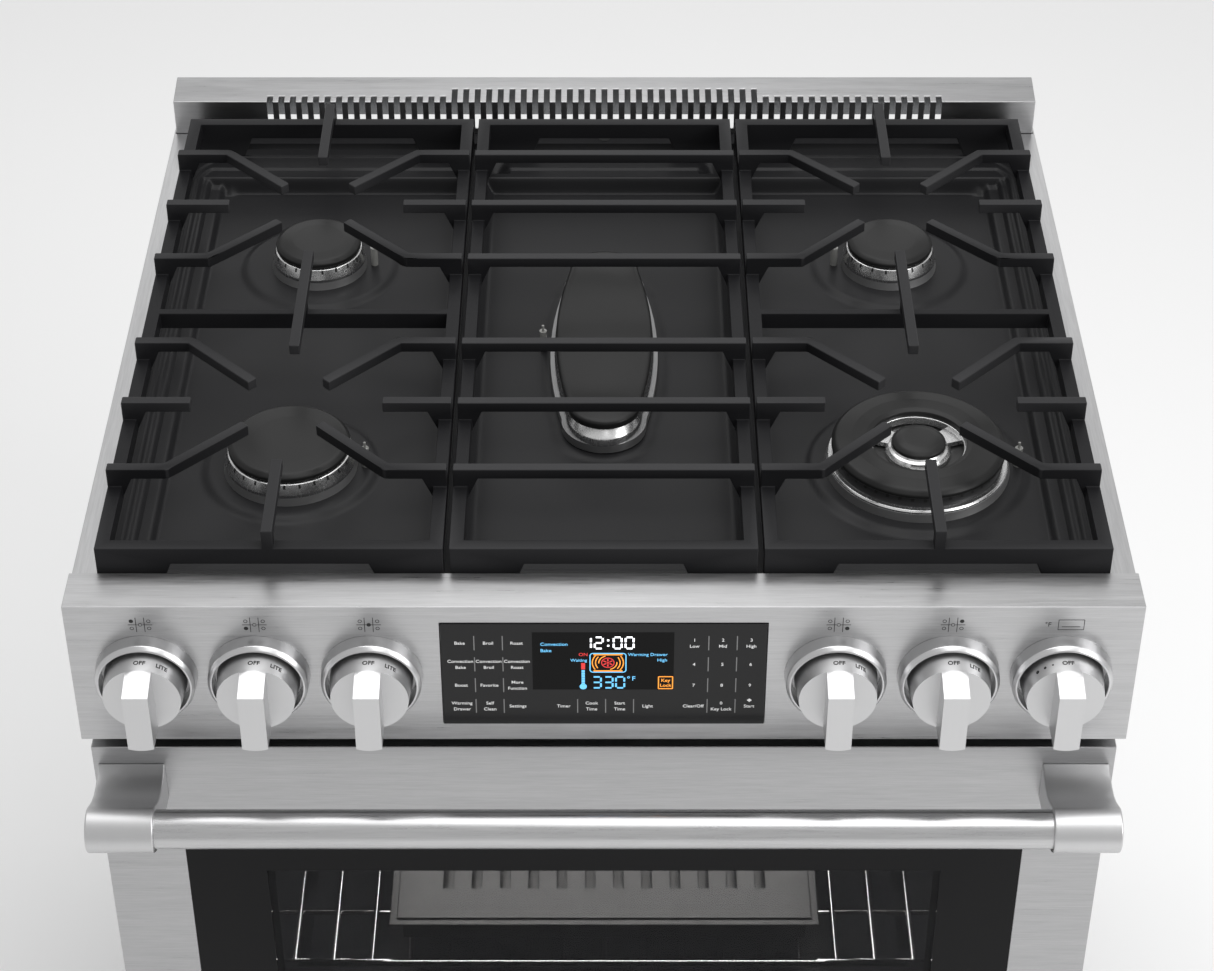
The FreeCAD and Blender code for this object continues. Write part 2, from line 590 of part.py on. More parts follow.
small = [(x, f"face + {y}") for x, y, r in burners if r == "small_cap"]
left_front = ("0 - burner_x", "face + burner_front")
right_front = ("burner_x", "face + burner_front")
node("round_burner_heads", group(
    *[burner_head(x, y, "small_cap + head_extra", 24) for x, y in small],
    burner_head(*left_front, "mid_cap + head_extra", 30),
    burner_head(*right_front, "big_cap + head_extra / 2", 44, "big_hole - 3"),
    burner_head(*right_front, "core_cap + head_extra", 14),
))
node("round_burner_caps", group(*[burner_cap(x, y, "small_cap") for x, y in small],
                                burner_cap(*left_front, "mid_cap")))
node("right_front_caps", group(
    cut(burner_cap(*right_front, "big_cap", height="cap_height + 1.5"),
        rod(*right_front, "cap_z - 1", "big_hole", "cap_height + 4")),
    burner_cap(*right_front, "core_cap", height="cap_height + 1.5"),
))

oval_ports = [
    box("0 - oval_width / 2 - 6", "oval_width / 2 + 6", f"face + oval_y - 78 + {i} * 12",
        f"face + oval_y - 78 + {i} * 12 + port_width", "head_z + head_height - port_height",
        "head_z + head_height")
    for i in range(14)
]
oval_core = oval("head_z", "head_height", "0 - 6")
oval_rim = oval("head_z", "head_height", "head_extra")
node("centre_burner_head", fuse(cut(oval_rim, *oval_ports), oval_core))
node("centre_burner_cap", fuse(
    oval("cap_z", "cap_height - 2.5"),
    oval("cap_z + cap_height - 2.5", "2.5", "0 - 1.5"),
))

igniter_spots = [
    (f"0 - burner_x + small_cap + base_extra + 2 * igniter_radius", "face + burner_rear"),
    (f"burner_x - small_cap - base_extra - 2 * igniter_radius", "face + burner_rear"),
    (f"0 - burner_x + mid_cap + base_extra + 2 * igniter_radius", "face + burner_front"),
    (f"burner_x + big_cap + base_extra + 2 * igniter_radius", "face + burner_front"),
    (f"0 - oval_width / 2 - base_extra - 2 * igniter_radius", "face + oval_y + 15"),
]
node("igniter_electrodes", group(*[
    fuse(rod(x, y, "seat_z", "igniter_radius", "igniter_height"),
         rod(x, y, "seat_z + igniter_height", "igniter_radius / 3", "5"))
    for x, y in igniter_spots
]))

# ---------------------------------------------------------------- backguard

guard_low, guard_top = "trim_top", "(cook_height + guard_rise)"
guard_outline = [
    ("rear - guard_depth", guard_low), ("rear", guard_low), ("rear", f"{guard_top} + guard_slope"),
    ("rear - guard_depth", guard_top),
]
guard_inside = [
    ("rear - guard_depth + steel", f"{guard_low} - 1"), ("rear - steel", f"{guard_low} - 1"),
    ("rear - steel", f"{guard_top} + guard_slope - steel"),
    ("rear - guard_depth + steel", f"{guard_top} - steel"),
]
guard_body = padded_outline("YZ", guard_outline, "face_width")
guard_hollow = padded_outline("YZ", guard_inside, "face_width - 2 * steel")
vent_slots = []
for i in range(-29, 30):
    run = "slot_long" if abs(i) <= 13 else "slot_short"
    vent_slots.append(box(f"{i} * slot_pitch - slot_width / 2", f"{i} * slot_pitch + slot_width / 2",
                          "rear - guard_depth - 1", f"rear - guard_depth + {run}",
                          "cook_height - slot_drop", f"{guard_top} + guard_slope"))
node("backguard", cut(guard_body, guard_hollow, *vent_slots))

# ---------------------------------------------------------------- control panel

knobs = [(side, i) for side in (-1, 1) for i in range(3)]


def knob_x(side, i):
    return f"{side} * (knob_first + {i} * knob_pitch)"


panel = box("0 - face_width / 2", "face_width / 2", "face", "face + panel_depth", "panel_bottom",
            "cook_height")
panel_hollow = box("0 - face_width / 2 + steel", "face_width / 2 - steel", "face + steel",
                   "face + panel_depth + 1", "panel_bottom + steel", "cook_height - steel")
window = box("0 - display_width / 2 - fit_gap", "display_width / 2 + fit_gap", "face - 1",
             "face + steel + 1",
             "cook_height - display_drop - display_height - fit_gap", "cook_height - display_drop + fit_gap")
stem_holes = [rod(knob_x(*k), "face - 1", "knob_z", "stem_hole", "steel + 2", "+y") for k in knobs]
node("control_panel", cut(panel, panel_hollow, window, *stem_holes))

node("display_glass", box("0 - display_width / 2", "display_width / 2", "face - display_proud",
                          "face - display_proud + display_thick",
                          "cook_height - display_drop - display_height",
                          "cook_height - display_drop"))
node("control_board", box("0 - display_width / 2 + 12", "display_width / 2 - 12",
                          "face - display_proud + display_thick", "face + 24",
                          "cook_height - display_drop - display_height + 8",
                          "cook_height - display_drop - 8"))

bezels = []
for k in knobs:
    outer = fuse(
        cone(knob_x(*k), "face", "knob_z", "bezel_radius", "bezel_rim + 0.6", "bezel_out - 3", "-y"),
        cone(knob_x(*k), "face - bezel_out + 3", "knob_z", "bezel_rim + 0.6", "bezel_rim - 1.6", "3", "-y"),
    )
    bezels.append(cut(outer, rod(knob_x(*k), "face + 1", "knob_z", "bezel_bore", "bezel_out + 2", "-y")))
node("knob_bezels", group(*bezels))

grip_profile = [
    ("face - skirt_out + 4", "0 - disc_radius - 1"), ("face - grip_out", "0 - disc_radius - 1"),
    ("face - grip_out", "grip_top"), ("face - skirt_out", "disc_radius"),
    ("face - skirt_out + 4", "disc_radius"),
]
names = {(-1, 2): "knob_left_rear", (-1, 1): "knob_left_front", (-1, 0): "knob_centre",
         (1, 0): "knob_right_front", (1, 1): "knob_right_rear", (1, 2): "knob_oven"}
for k in knobs:
    skirt = cone(knob_x(*k), "face - knob_gap", "knob_z", "skirt_radius", "disc_radius",
                 "skirt_out - knob_gap", "-y")
    grip = common(
        padded_outline("YZ", grip_profile, "grip_width", x=knob_x(*k), z="knob_z"),
        rod(knob_x(*k), "face - skirt_out + 4", "knob_z", "disc_radius", "grip_out", "-y"),
    )
    stem = rod(knob_x(*k), "face - knob_gap", "knob_z", "stem_radius", "stem_depth + knob_gap", "+y")
    node(names[k], fuse(skirt, grip, stem))
    if k != (1, 2):
        sleeve = rod(knob_x(*k), "face + plug_front", "knob_z", "plug_radius", "plug_length", "+y")
        bore = rod(knob_x(*k), "face + plug_front - 1", "knob_z", "stem_radius + run_gap",
                   "plug_length + 2", "+y")
        node(names[k].replace("knob", "valve_plug"), cut(sleeve, bore))

valves = []
for k in knobs:
    x = knob_x(*k)
    deep = "manifold_y - manifold_radius / 2" if k != (1, 2) else "manifold_y - manifold_radius - 2"
    body = box(f"{x} - valve_width / 2", f"{x} + valve_width / 2", "face + valve_front", deep,
               "knob_z - valve_height / 2", "knob_z + valve_height / 2")
    if k == (1, 2):
        holes = [rod(x, "face + valve_front - 1", "knob_z", "stem_radius + run_gap",
                     "stem_depth + push_travel + 2 - valve_front", "+y")]
    else:
        holes = [rod(x, "face + valve_front - 1", "knob_z", "plug_radius + run_gap",
                     "plug_front + plug_length + push_travel - valve_front", "+y")]
        holes.append(rod("0 - pipe_lane", "manifold_y", "knob_z", "manifold_radius", "2 * pipe_lane", "+x"))
    valves.append(cut(body, *holes))
node("valve_bodies", group(*valves))


def gas_pipe(points, radius):
    """Straight runs along the axes with a ball at each turn."""
    runs = []
    for a, b in zip(points, points[1:]):
        start, stop = [number(v) for v in a], [number(v) for v in b]
        way = max(range(3), key=lambda n: abs(stop[n] - start[n]))
        low, high = (a, b) if stop[way] > start[way] else (b, a)
        runs.append(rod(*low, radius, f"({high[way]}) - ({low[way]})", ("+x", "+y", "+z")[way]))
    turns_at = [ball(*p, radius) for p in points[1:-1]]
    return fuse(*runs, *turns_at)


supply = gas_pipe([
    ("inlet_x", "inlet_end", "inlet_z"), ("inlet_x", "back_y - 40", "inlet_z"),
    ("pipe_lane", "back_y - 40", "inlet_z"), ("pipe_lane", "manifold_y", "inlet_z"),
    ("pipe_lane", "manifold_y", "knob_z"), ("0 - pipe_lane + 20", "manifold_y", "knob_z"),
], "inlet_radius")
rail = rod("0 - pipe_lane + 20", "manifold_y", "knob_z", "manifold_radius", "2 * pipe_lane - 40", "+x")
bulkhead = rod("inlet_x", "back_y + steel", "inlet_z", "inlet_radius + 6", "6", "+y")
node("gas_manifold", fuse(supply, rail, bulkhead))

oval_stop = "0 - holder_radius"
tube_routes = [
    [(-1, 2), ("face + burner_rear", "0 - burner_x - holder_radius")],
    [(-1, 0), ("face + oval_y", oval_stop)],
    [(1, 0), ("face + burner_front", "burner_x - holder_radius")],
]
tubes = []
for k, (y, stop_x) in tube_routes:
    x = knob_x(*k)
    tubes.append(gas_pipe([
        (x, "face + 45", "knob_z + valve_height / 2"), (x, "face + 45", "tube_z"), (x, y, "tube_z"),
        (stop_x, y, "tube_z"),
    ], "tube_radius"))
x = knob_x(-1, 1)
tubes.append(cut(
    gas_pipe([(x, "face + 45", "knob_z + valve_height / 2"), (x, "face + 45", "tube_z"),
              (x, "face + burner_front", "tube_z")], "tube_radius"),
    rod("0 - burner_x", "face + burner_front", "deck_low - holder_depth - 1", "holder_radius",
        "holder_depth + 2"),
))
x, bypass = knob_x(1, 1), "(burner_x + 60)"
tubes.append(gas_pipe([
    (x, "face + 45", "knob_z + valve_height / 2"), (x, "face + 45", "tube_z"), (x, "face + 100", "tube_z"),
    (bypass, "face + 100", "tube_z"), (bypass, "face + burner_rear", "tube_z"),
    ("burner_x + holder_radius", "face + burner_rear", "tube_z"),
], "tube_radius"))
node("burner_gas_tubes", group(*tubes))

# ---------------------------------------------------------------- door

pocket_half = "(arm_thick / 2 + cheek_gap + cheek_thick + 0.5)"


def pockets(y0, y1):
    """The hinge arms swing in a pocket that is open at the door's back and bottom edge."""
    return [
        box(*ends(side, f"hinge_x - {pocket_half}", f"hinge_x + {pocket_half}"), y0, y1,
            "door_bottom - 1", "pivot_z + arm_half + 5 * pocket_gap")
        for side in (-1, 1)
    ]


door = box("0 - door_width / 2", "door_width / 2", "door_face", "door_back - steel", "door_bottom",
           "door_top")
door_hollow = box("0 - door_width / 2 + steel", "door_width / 2 - steel", "door_face + steel", "door_back",
                  "door_bottom + steel", "door_top - steel")
glass_hole = box("0 - glass_half", "glass_half", "door_face - 1", "door_face + steel + 1",
                 "glass_top - glass_height", "glass_top")
node("door_skin", cut(door, door_hollow, glass_hole, *pockets("pivot_y - arm_half - 3", "door_back + 1")))

node("door_glass_outer", box("0 - glass_half + fit_gap", "glass_half - fit_gap", "door_face + 0.4",
                             "door_face + 0.4 + glass_thick", "glass_top - glass_height + fit_gap",
                             "glass_top - fit_gap"))

liner = box("0 - door_width / 2", "door_width / 2", "door_back - steel", "door_back", "door_bottom",
            "door_top")
view_low = "(glass_top - glass_height + inner_glass_raise)"
view = box("0 - inner_glass_width / 2 + 14", "inner_glass_width / 2 - 14", "door_back - steel - 1",
           "door_back + 1", f"{view_low} + 14", f"{view_low} + inner_glass_height - 14")
node("door_liner", cut(liner, view, *pockets("door_back - 4 * steel", "door_back + 1")))

node("door_glass_inner", box("0 - inner_glass_width / 2", "inner_glass_width / 2",
                             "door_back - steel - glass_thick", "door_back - steel", view_low,
                             f"{view_low} + inner_glass_height"))

door_wool_out = box("0 - hinge_x + 12", "hinge_x - 12", "door_face + 0.4 + glass_thick",
                    "door_back - steel", "glass_top - glass_height - 20", "glass_top + 50")
door_wool_in = box("0 - inner_glass_width / 2 - fit_gap", "inner_glass_width / 2 + fit_gap", "door_face",
                   "door_back", f"{view_low} - fit_gap", f"{view_low} + inner_glass_height + fit_gap")
node("door_insulation", cut(door_wool_out, door_wool_in))

tube = rod("0 - bracket_edge + bracket_width - 6", "bar_y", "bar_z", "handle_radius",
           "2 * (bracket_edge - bracket_width + 6)", "+x")
tube_bore = rod("0 - bracket_edge + bracket_width - 7", "bar_y", "bar_z", "handle_radius - handle_wall",
                "2 * (bracket_edge - bracket_width + 7)", "+x")
node("door_handle_bar", cut(tube, tube_bore))

bracket_profile = [
    ("door_face", "bar_z + bracket_above"), ("door_face - 8", "bar_z + bracket_above - 3"),
    ("door_face - 20", "bar_z + bracket_above - 5"), ("door_face - 32", "bar_z + bracket_above - 3"),
    ("bar_y + 8", "bar_z + barrel_radius * 0.86"), ("bar_y + 4", "bar_z"),
    ("bar_y + 7", "bar_z - barrel_radius * 0.87"), ("door_face - 24", "bar_z - bracket_below + 5"),
    ("door_face", "bar_z - bracket_below"),
]
brackets = []
for side in (-1, 1):
    middle = at(side, "bracket_edge - bracket_width / 2")
    inner = at(side, "bracket_edge - bracket_width") if side > 0 else "0 - bracket_edge"
    whole = fuse(
        padded_outline("YZ", bracket_profile, "bracket_width", x=middle),
        rod(inner, "bar_y", "bar_z", "barrel_radius", "bracket_width", "+x"),
    )
    brackets.append(cut(whole, rod("0 - bracket_edge + bracket_width - 6", "bar_y", "bar_z", "handle_radius",
                                   "2 * (bracket_edge - bracket_width + 6)", "+x")))
node("door_handle_brackets", group(*brackets))


def hinge_arm(side):
    """The fixed arm: a round eye on the pivot, a run back under the front frame and a riser behind it."""
    middle = at(side, "hinge_x")
    profile = [
        ("pivot_y", "pivot_z - arm_half"), ("pivot_y + arm_reach", "pivot_z - arm_half"),
        ("pivot_y + arm_reach", "pivot_z + arm_riser"), ("oven_y", "pivot_z + arm_riser"),
        ("oven_y", "pivot_z + arm_half"), ("pivot_y", "pivot_z + arm_half"),
    ]
    near = f"{side} * hinge_x - arm_thick / 2"
    eye = rod(near, "pivot_y", "pivot_z", "arm_half", "arm_thick", "+x")
    bore = rod(f"{near} - 1", "pivot_y", "pivot_z", "pin_radius + run_gap", "arm_thick + 2", "+x")
    return cut(fuse(padded_outline("YZ", profile, "arm_thick", x=middle), eye), bore)


node("hinge_arms", group(hinge_arm(-1), hinge_arm(1)))


def door_hinge(side):
    """Two cheeks inside the door and the pin that passes through the arm's eye."""
    half = "(arm_thick / 2 + cheek_gap)"
    cheeks = [
        box(f"{side} * hinge_x + {low}", f"{side} * hinge_x + {high}", "pivot_y - 14", "door_back - steel",
            "pivot_z - 12", "pivot_z + 34")
        for low, high in ((f"{half}", f"{half} + cheek_thick"), (f"0 - {half} - cheek_thick", f"0 - {half}"))
    ]
    bridge = box(f"{side} * hinge_x - {half} - cheek_thick", f"{side} * hinge_x + {half} + cheek_thick",
                 "pivot_y - 14", "door_back - steel", "pivot_z + 22", "pivot_z + 34")
    pin = rod(f"{side} * hinge_x - {half} - 1", "pivot_y", "pivot_z", "pin_radius", f"2 * {half} + 2", "+x")
    strap = box(f"{side} * hinge_x - {half} - cheek_thick", f"{side} * hinge_x + {half} + cheek_thick",
                "door_face + steel", "pivot_y - 14", "pivot_z + 22", "pivot_z + 34")
    return fuse(*cheeks, bridge, pin, strap)


node("door_hinges", group(door_hinge(-1), door_hinge(1)))

# ---------------------------------------------------------------- drawer

front = box("0 - door_width / 2", "door_width / 2", "door_face", "drawer_back", "drawer_low", "drawer_top")
finger_pull = box("0 - door_width / 2 + 60", "door_width / 2 - 60", "door_face + 5", "drawer_back + 1",
                  "drawer_top - 16", "drawer_top + 1")
front_hollow = box("0 - door_width / 2 + steel", "door_width / 2 - steel", "door_face + steel",
                   "drawer_back - steel", "drawer_low + steel", "drawer_top - 16 - steel")
node("drawer_front", cut(front, finger_pull, front_hollow))
tray = box("0 - box_half", "box_half", "drawer_back", "drawer_back + box_depth", "drawer_low + box_low",
           "drawer_low + box_low + box_tall")
tray_hollow = box("0 - box_half + steel", "box_half - steel", "drawer_back + steel",
                  "drawer_back + box_depth - steel", "drawer_low + box_low + steel",
                  "drawer_low + box_low + box_tall + 1")
node("drawer_box", cut(tray, tray_hollow))


def slide(side):
    rail = box(*ends(side, "box_half + slide_gap", "box_half + slide_gap + slide_thick"),
               "kick_y + rail_width",
               "drawer_back + box_depth - 20", "drawer_low + 30", "drawer_low + 30 + slide_height")
    posts = [
        box(*ends(side, "box_half + slide_gap", "inner_half - rail_width + 3"), y, f"{y} + 30",
            "base_top", "drawer_low + 30 + slide_height")
        for y in ("kick_y + rail_width + 10", "drawer_back + box_depth - 80")
    ]
    return fuse(rail, *posts)


node("drawer_slides", group(slide(-1), slide(1)))

# ---------------------------------------------------------------- rack and broiler pan

wire, rail_r = "rack_wire", "rack_rail"
rack_pieces = [
    rod("0 - rack_half", "rack_y", "rack_z", rail_r, "2 * rack_half", "+x"),
    rod("0 - rack_half", "rack_y + rack_second", "rack_z - rack_wire - rack_rail + 1", wire,
        "2 * rack_half", "+x"),
    rod("0 - rack_half", "rack_y + rack_depth", "rack_z", rail_r, "2 * rack_half", "+x"),
    rod("0 - rack_half", "rack_y", "rack_z", rail_r, "rack_depth", "+y"),
    rod("rack_half", "rack_y", "rack_z", rail_r, "rack_depth", "+y"),
]
rack_pieces += [ball(x, y, "rack_z", rail_r) for x in ("0 - rack_half", "rack_half")
                for y in ("rack_y", "rack_y + rack_depth")]
rack_pieces += [
    rod(f"{i} * rack_pitch", "rack_y", "rack_z + 1", wire, "rack_depth", "+y") for i in range(-8, 9)
]
node("oven_rack", fuse(*rack_pieces))

pan_low, pan_top = "(rack_z + 1 + rack_wire)", "(rack_z + 1 + rack_wire + pan_height)"
pan_y = "(face + pan_front)"
pan_outer = box("0 - pan_width / 2 + 10", "pan_width / 2 - 10", f"{pan_y} + 10", f"{pan_y} + pan_depth - 10",
                pan_low, pan_top)
pan_lip = box("0 - pan_width / 2", "pan_width / 2", pan_y, f"{pan_y} + pan_depth",
              f"{pan_top} - pan_wall", pan_top)
pan_hollow = box("0 - pan_width / 2 + 10 + pan_wall", "pan_width / 2 - 10 - pan_wall",
                 f"{pan_y} + 10 + pan_wall", f"{pan_y} + pan_depth - 10 - pan_wall",
                 f"{pan_low} + pan_wall", f"{pan_top} + 1")
tray_top = "(" + pan_top + " + pan_wall)"
grid = box("0 - pan_width / 2 + 6", "pan_width / 2 - 6", f"{pan_y} + 6", f"{pan_y} + pan_depth - 6",
           pan_top, tray_top)
grid_slots = [
    box(f"{i - 5.5} * pan_slot_pitch - pan_slot / 2", f"{i - 5.5} * pan_slot_pitch + pan_slot / 2",
        f"{pan_y} + 40", f"{pan_y} + pan_depth - 40", f"{pan_top} - 1", f"{tray_top} + 1")
    for i in range(12)
]
node("broiler_pan", group(cut(fuse(pan_outer, pan_lip), pan_hollow), cut(grid, *grid_slots)))

# ---------------------------------------------------------------- grates

bar_rows = ["bar_one", "bar_two", "bar_three", "bar_four", "bar_five", "bar_six"]
finger_z = "(grate_top - finger_deep)"


def sloped_block(x, y, z, low, high, depth, height):
    """A block whose X extent runs from low at its foot to high at its top; x, y is its front left corner."""
    item = doc.addObject("Part::Wedge", "sloped")
    bind(item, Xmin=low[0], Xmax=low[1], X2min=high[0], X2max=high[1], Ymin="0", Ymax=height,
         Zmin="0", Zmax=depth, Z2min="0", Z2max=depth)
    item.Placement = FreeCAD.Placement(V(), turns["-y"])
    return placed(item, x, f"{y} + {depth}", z)


def grate_frame(x0, x1):
    """The four frame rails and the corner feet, whose inner ends slope."""
    y0, y1 = "face + grate_front", "face + grate_back"
    rails = [
        box(x0, f"({x0}) + rail_wide", y0, y1, "rail_low", "rail_top"),
        box(f"({x1}) - rail_wide", x1, y0, y1, "rail_low", "rail_top"),
        box(x0, x1, y0, f"{y0} + rail_wide", "rail_low", "rail_top"),
        box(x0, x1, f"{y1} - rail_wide", y1, "rail_low", "rail_top"),
    ]
    feet = []
    for y in (y0, f"{y1} - rail_wide"):
        feet.append(sloped_block(x0, y, "trim_top", ("0", "foot_long"), ("0", "foot_long + foot_slope"),
                                 "rail_wide", "rail_low - trim_top"))
        feet.append(sloped_block(f"({x1}) - foot_long - foot_slope", y, "trim_top",
                                 ("foot_slope", "foot_long + foot_slope"), ("0", "foot_long + foot_slope"),
                                 "rail_wide", "rail_low - trim_top"))
    return rails + feet


def end_block(x, y, way):
    """A bar's end: it stands on the frame rail, with a gusset down the rail's inner side."""
    inner = f"({x}) + {way} * rail_wide"
    low, high = (x, inner) if way > 0 else (inner, x)
    block = box(low, high, f"face + {y} - finger / 2", f"face + {y} + finger / 2", "rail_top", "grate_top")
    if way > 0:
        corner, foot, top = inner, ("0", "0.5"), ("0", "gusset")
    else:
        corner, foot, top = f"{inner} - gusset", ("gusset - 0.5", "gusset"), ("0", "gusset")
    web = sloped_block(corner, f"face + {y} - finger / 2", "rail_low + 4", foot, top, "finger",
                       "rail_tall - 4 + finger_lift")
    return fuse(block, web)


def bent_finger(x, way, y, burner_y, centre):
    """From the frame straight in to the bend, then at 45 degrees towards the burner's centre."""
    bend = f"{centre} - {way} * kink"
    low, high = (x, bend) if way > 0 else (bend, x)
    line = f"face + {y}"
    down = sizes[y] > sizes[burner_y]
    angle = {(1, True): -45, (1, False): 45, (-1, True): -135, (-1, False): 135}[(way, down)]
    return [
        end_block(x, y, way),
        box(low, high, f"{line} - finger / 2", f"{line} + finger / 2", finger_z, "grate_top"),
        rod(bend, line, finger_z, "finger / 2", "finger_deep"),
        tilted_box(bend, line, finger_z, "(kink - tip_x) * 1.4142", "finger", "finger_deep", angle),
    ]




def side_grate(side):
    x0, x1 = ends(side, "grate_inner", "grate_outer")
    centre = at(side, "burner_x")
    pieces = grate_frame(x0, x1)
    for y, burner in (("bar_one", "burner_rear"), ("bar_three", "burner_rear"),
                      ("bar_four", "burner_front"), ("bar_six", "burner_front")):
        pieces += bent_finger(x0, 1, y, burner, centre) + bent_finger(x1, -1, y, burner, centre)
    for y in ("bar_two", "bar_five"):
        line = f"face + {y}"
        pieces += [end_block(x0, y, 1), end_block(x1, y, -1)]
        pieces += [
            box(x0, f"({x0}) + side_finger", f"{line} - finger / 2", f"{line} + finger / 2", finger_z,
                "grate_top"),
            box(f"({x1}) - side_finger", x1, f"{line} - finger / 2", f"{line} + finger / 2", finger_z,
                "grate_top"),
        ]
    left, right = f"{centre} - finger / 2", f"{centre} + finger / 2"
    y0, y1 = "face + grate_front", "face + grate_back"
    pieces += [
        box(x0, x1, "face + rib_y - 3.5", "face + rib_y + 3.5", "rail_low", "rail_top"),
        box(left, right, y0, "face + burner_front - line_tip", finger_z, "grate_top"),
        box(left, right, y0, f"{y0} + rail_wide", "rail_top", "grate_top"),
        box(left, right, "face + burner_rear + line_tip", y1, finger_z, "grate_top"),
        box(left, right, f"{y1} - rail_wide", y1, "rail_top", "grate_top"),
        box(left, right, "face + burner_front + line_tip", "face + burner_rear - line_tip", finger_z,
            "grate_top"),
        box(left, right, "face + rib_y - 3.5", "face + rib_y + 3.5", "rail_top", "grate_top"),
    ]
    return fuse(*pieces)


def centre_grate():
    x0, x1 = "0 - centre_half", "centre_half"
    pieces = grate_frame(x0, x1)
    for y in bar_rows:
        line = f"face + {y}"
        pieces += [end_block(x0, y, 1), end_block(x1, y, -1)]
        pieces.append(box(x0, x1, f"{line} - finger / 2", f"{line} + finger / 2", finger_z, "grate_top"))
    return fuse(*pieces)


node("grate_left", side_grate(-1))
node("grate_centre", centre_grate())
node("grate_right", side_grate(1))

# ---------------------------------------------------------------- check and write

doc.recompute()
faults = [o.Label for o in doc.Objects if {"Invalid", "Error"} & set(o.State)]
if faults:
    raise SystemExit(f"failed objects: {faults}")
labels = [item.Label for item in nodes]
if len(set(labels)) != len(labels) or len(labels) > 60:
    raise SystemExit(f"node names are not unique or too many: {len(labels)}")
for item in nodes:
    if item.Shape.isNull() or not item.Shape.isValid() or not item.Shape.Solids:
        raise SystemExit(f"bad shape: {item.Label}")

os.makedirs("parts", exist_ok=True)
for item in nodes:
    item.Shape.exportStep(os.path.join("parts", item.Label + ".step"))
whole = FreeCAD.BoundBox()
for item in nodes:
    whole.add(item.Shape.BoundBox)
print(f"{len(nodes)} nodes, overall {whole}")
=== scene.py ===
import bpy
import bmesh
import math
from mathutils import Matrix, Vector


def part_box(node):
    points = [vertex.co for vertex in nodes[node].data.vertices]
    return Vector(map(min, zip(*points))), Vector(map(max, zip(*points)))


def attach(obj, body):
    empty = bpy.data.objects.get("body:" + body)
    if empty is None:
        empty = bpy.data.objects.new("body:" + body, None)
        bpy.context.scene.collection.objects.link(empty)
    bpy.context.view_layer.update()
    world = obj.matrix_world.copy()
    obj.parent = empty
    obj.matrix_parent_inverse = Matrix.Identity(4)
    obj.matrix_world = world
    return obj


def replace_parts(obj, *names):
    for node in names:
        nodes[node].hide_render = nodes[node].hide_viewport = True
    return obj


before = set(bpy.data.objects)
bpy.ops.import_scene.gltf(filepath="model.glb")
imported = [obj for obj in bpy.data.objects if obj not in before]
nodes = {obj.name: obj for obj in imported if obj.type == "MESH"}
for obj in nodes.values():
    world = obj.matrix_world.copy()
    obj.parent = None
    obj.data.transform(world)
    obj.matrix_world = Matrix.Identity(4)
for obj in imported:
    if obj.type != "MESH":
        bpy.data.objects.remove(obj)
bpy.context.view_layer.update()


def mm(value):
    return value / 1000.0


# ---- places read from the frame, in metres

panelLow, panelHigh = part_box("control_panel")
faceY, panelTop = panelLow.y, panelHigh.z
deckLow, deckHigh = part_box("cooktop_deck")
doorLow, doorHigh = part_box("door_skin")
glassLow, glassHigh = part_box("door_glass_outer")
barLow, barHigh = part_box("door_handle_bar")
knobNodes = ["knob_left_rear", "knob_left_front", "knob_centre", "knob_right_front", "knob_right_rear", "knob_oven"]
knobPlace = {}
for name in knobNodes:
    low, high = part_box(name)
    knobPlace[name] = ((low.x + high.x) / 2, low.z + mm(29.5))


# ---- shared shader groups

def newGroup(name, inputs, outputs):
    tree = bpy.data.node_groups.new(name, "ShaderNodeTree")
    for socket, kind, default in inputs:
        item = tree.interface.new_socket(name=socket, in_out="INPUT", socket_type=kind)
        item.default_value = default
    for socket, kind in outputs:
        tree.interface.new_socket(name=socket, in_out="OUTPUT", socket_type=kind)
    return tree, tree.nodes.new("NodeGroupInput"), tree.nodes.new("NodeGroupOutput")


def mathNode(tree, operation, a, b=None, c=None):
    node = tree.nodes.new("ShaderNodeMath")
    node.operation = operation
    for index, value in enumerate((a, b, c)):
        if value is None:
            continue
        if isinstance(value, (int, float)):
            node.inputs[index].default_value = value
        else:
            tree.links.new(value, node.inputs[index])
    return node.outputs[0]


def stretched(tree, scale):
    # object coordinates scaled along one axis turn a noise into long streaks
    coords = tree.nodes.new("ShaderNodeTexCoord")
    mapping = tree.nodes.new("ShaderNodeMapping")
    mapping.inputs["Scale"].default_value = scale
    tree.links.new(coords.outputs["Object"], mapping.inputs["Vector"])
    return mapping.outputs["Vector"]


def noise(tree, vector, scale, detail=3.0, rough=0.5):
    node = tree.nodes.new("ShaderNodeTexNoise")
    node.inputs["Detail"].default_value = detail
    node.inputs["Roughness"].default_value = rough
    if isinstance(scale, (int, float)):
        node.inputs["Scale"].default_value = scale
    else:
        tree.links.new(scale, node.inputs["Scale"])
    tree.links.new(vector, node.inputs["Vector"])
    return node.outputs["Fac"]


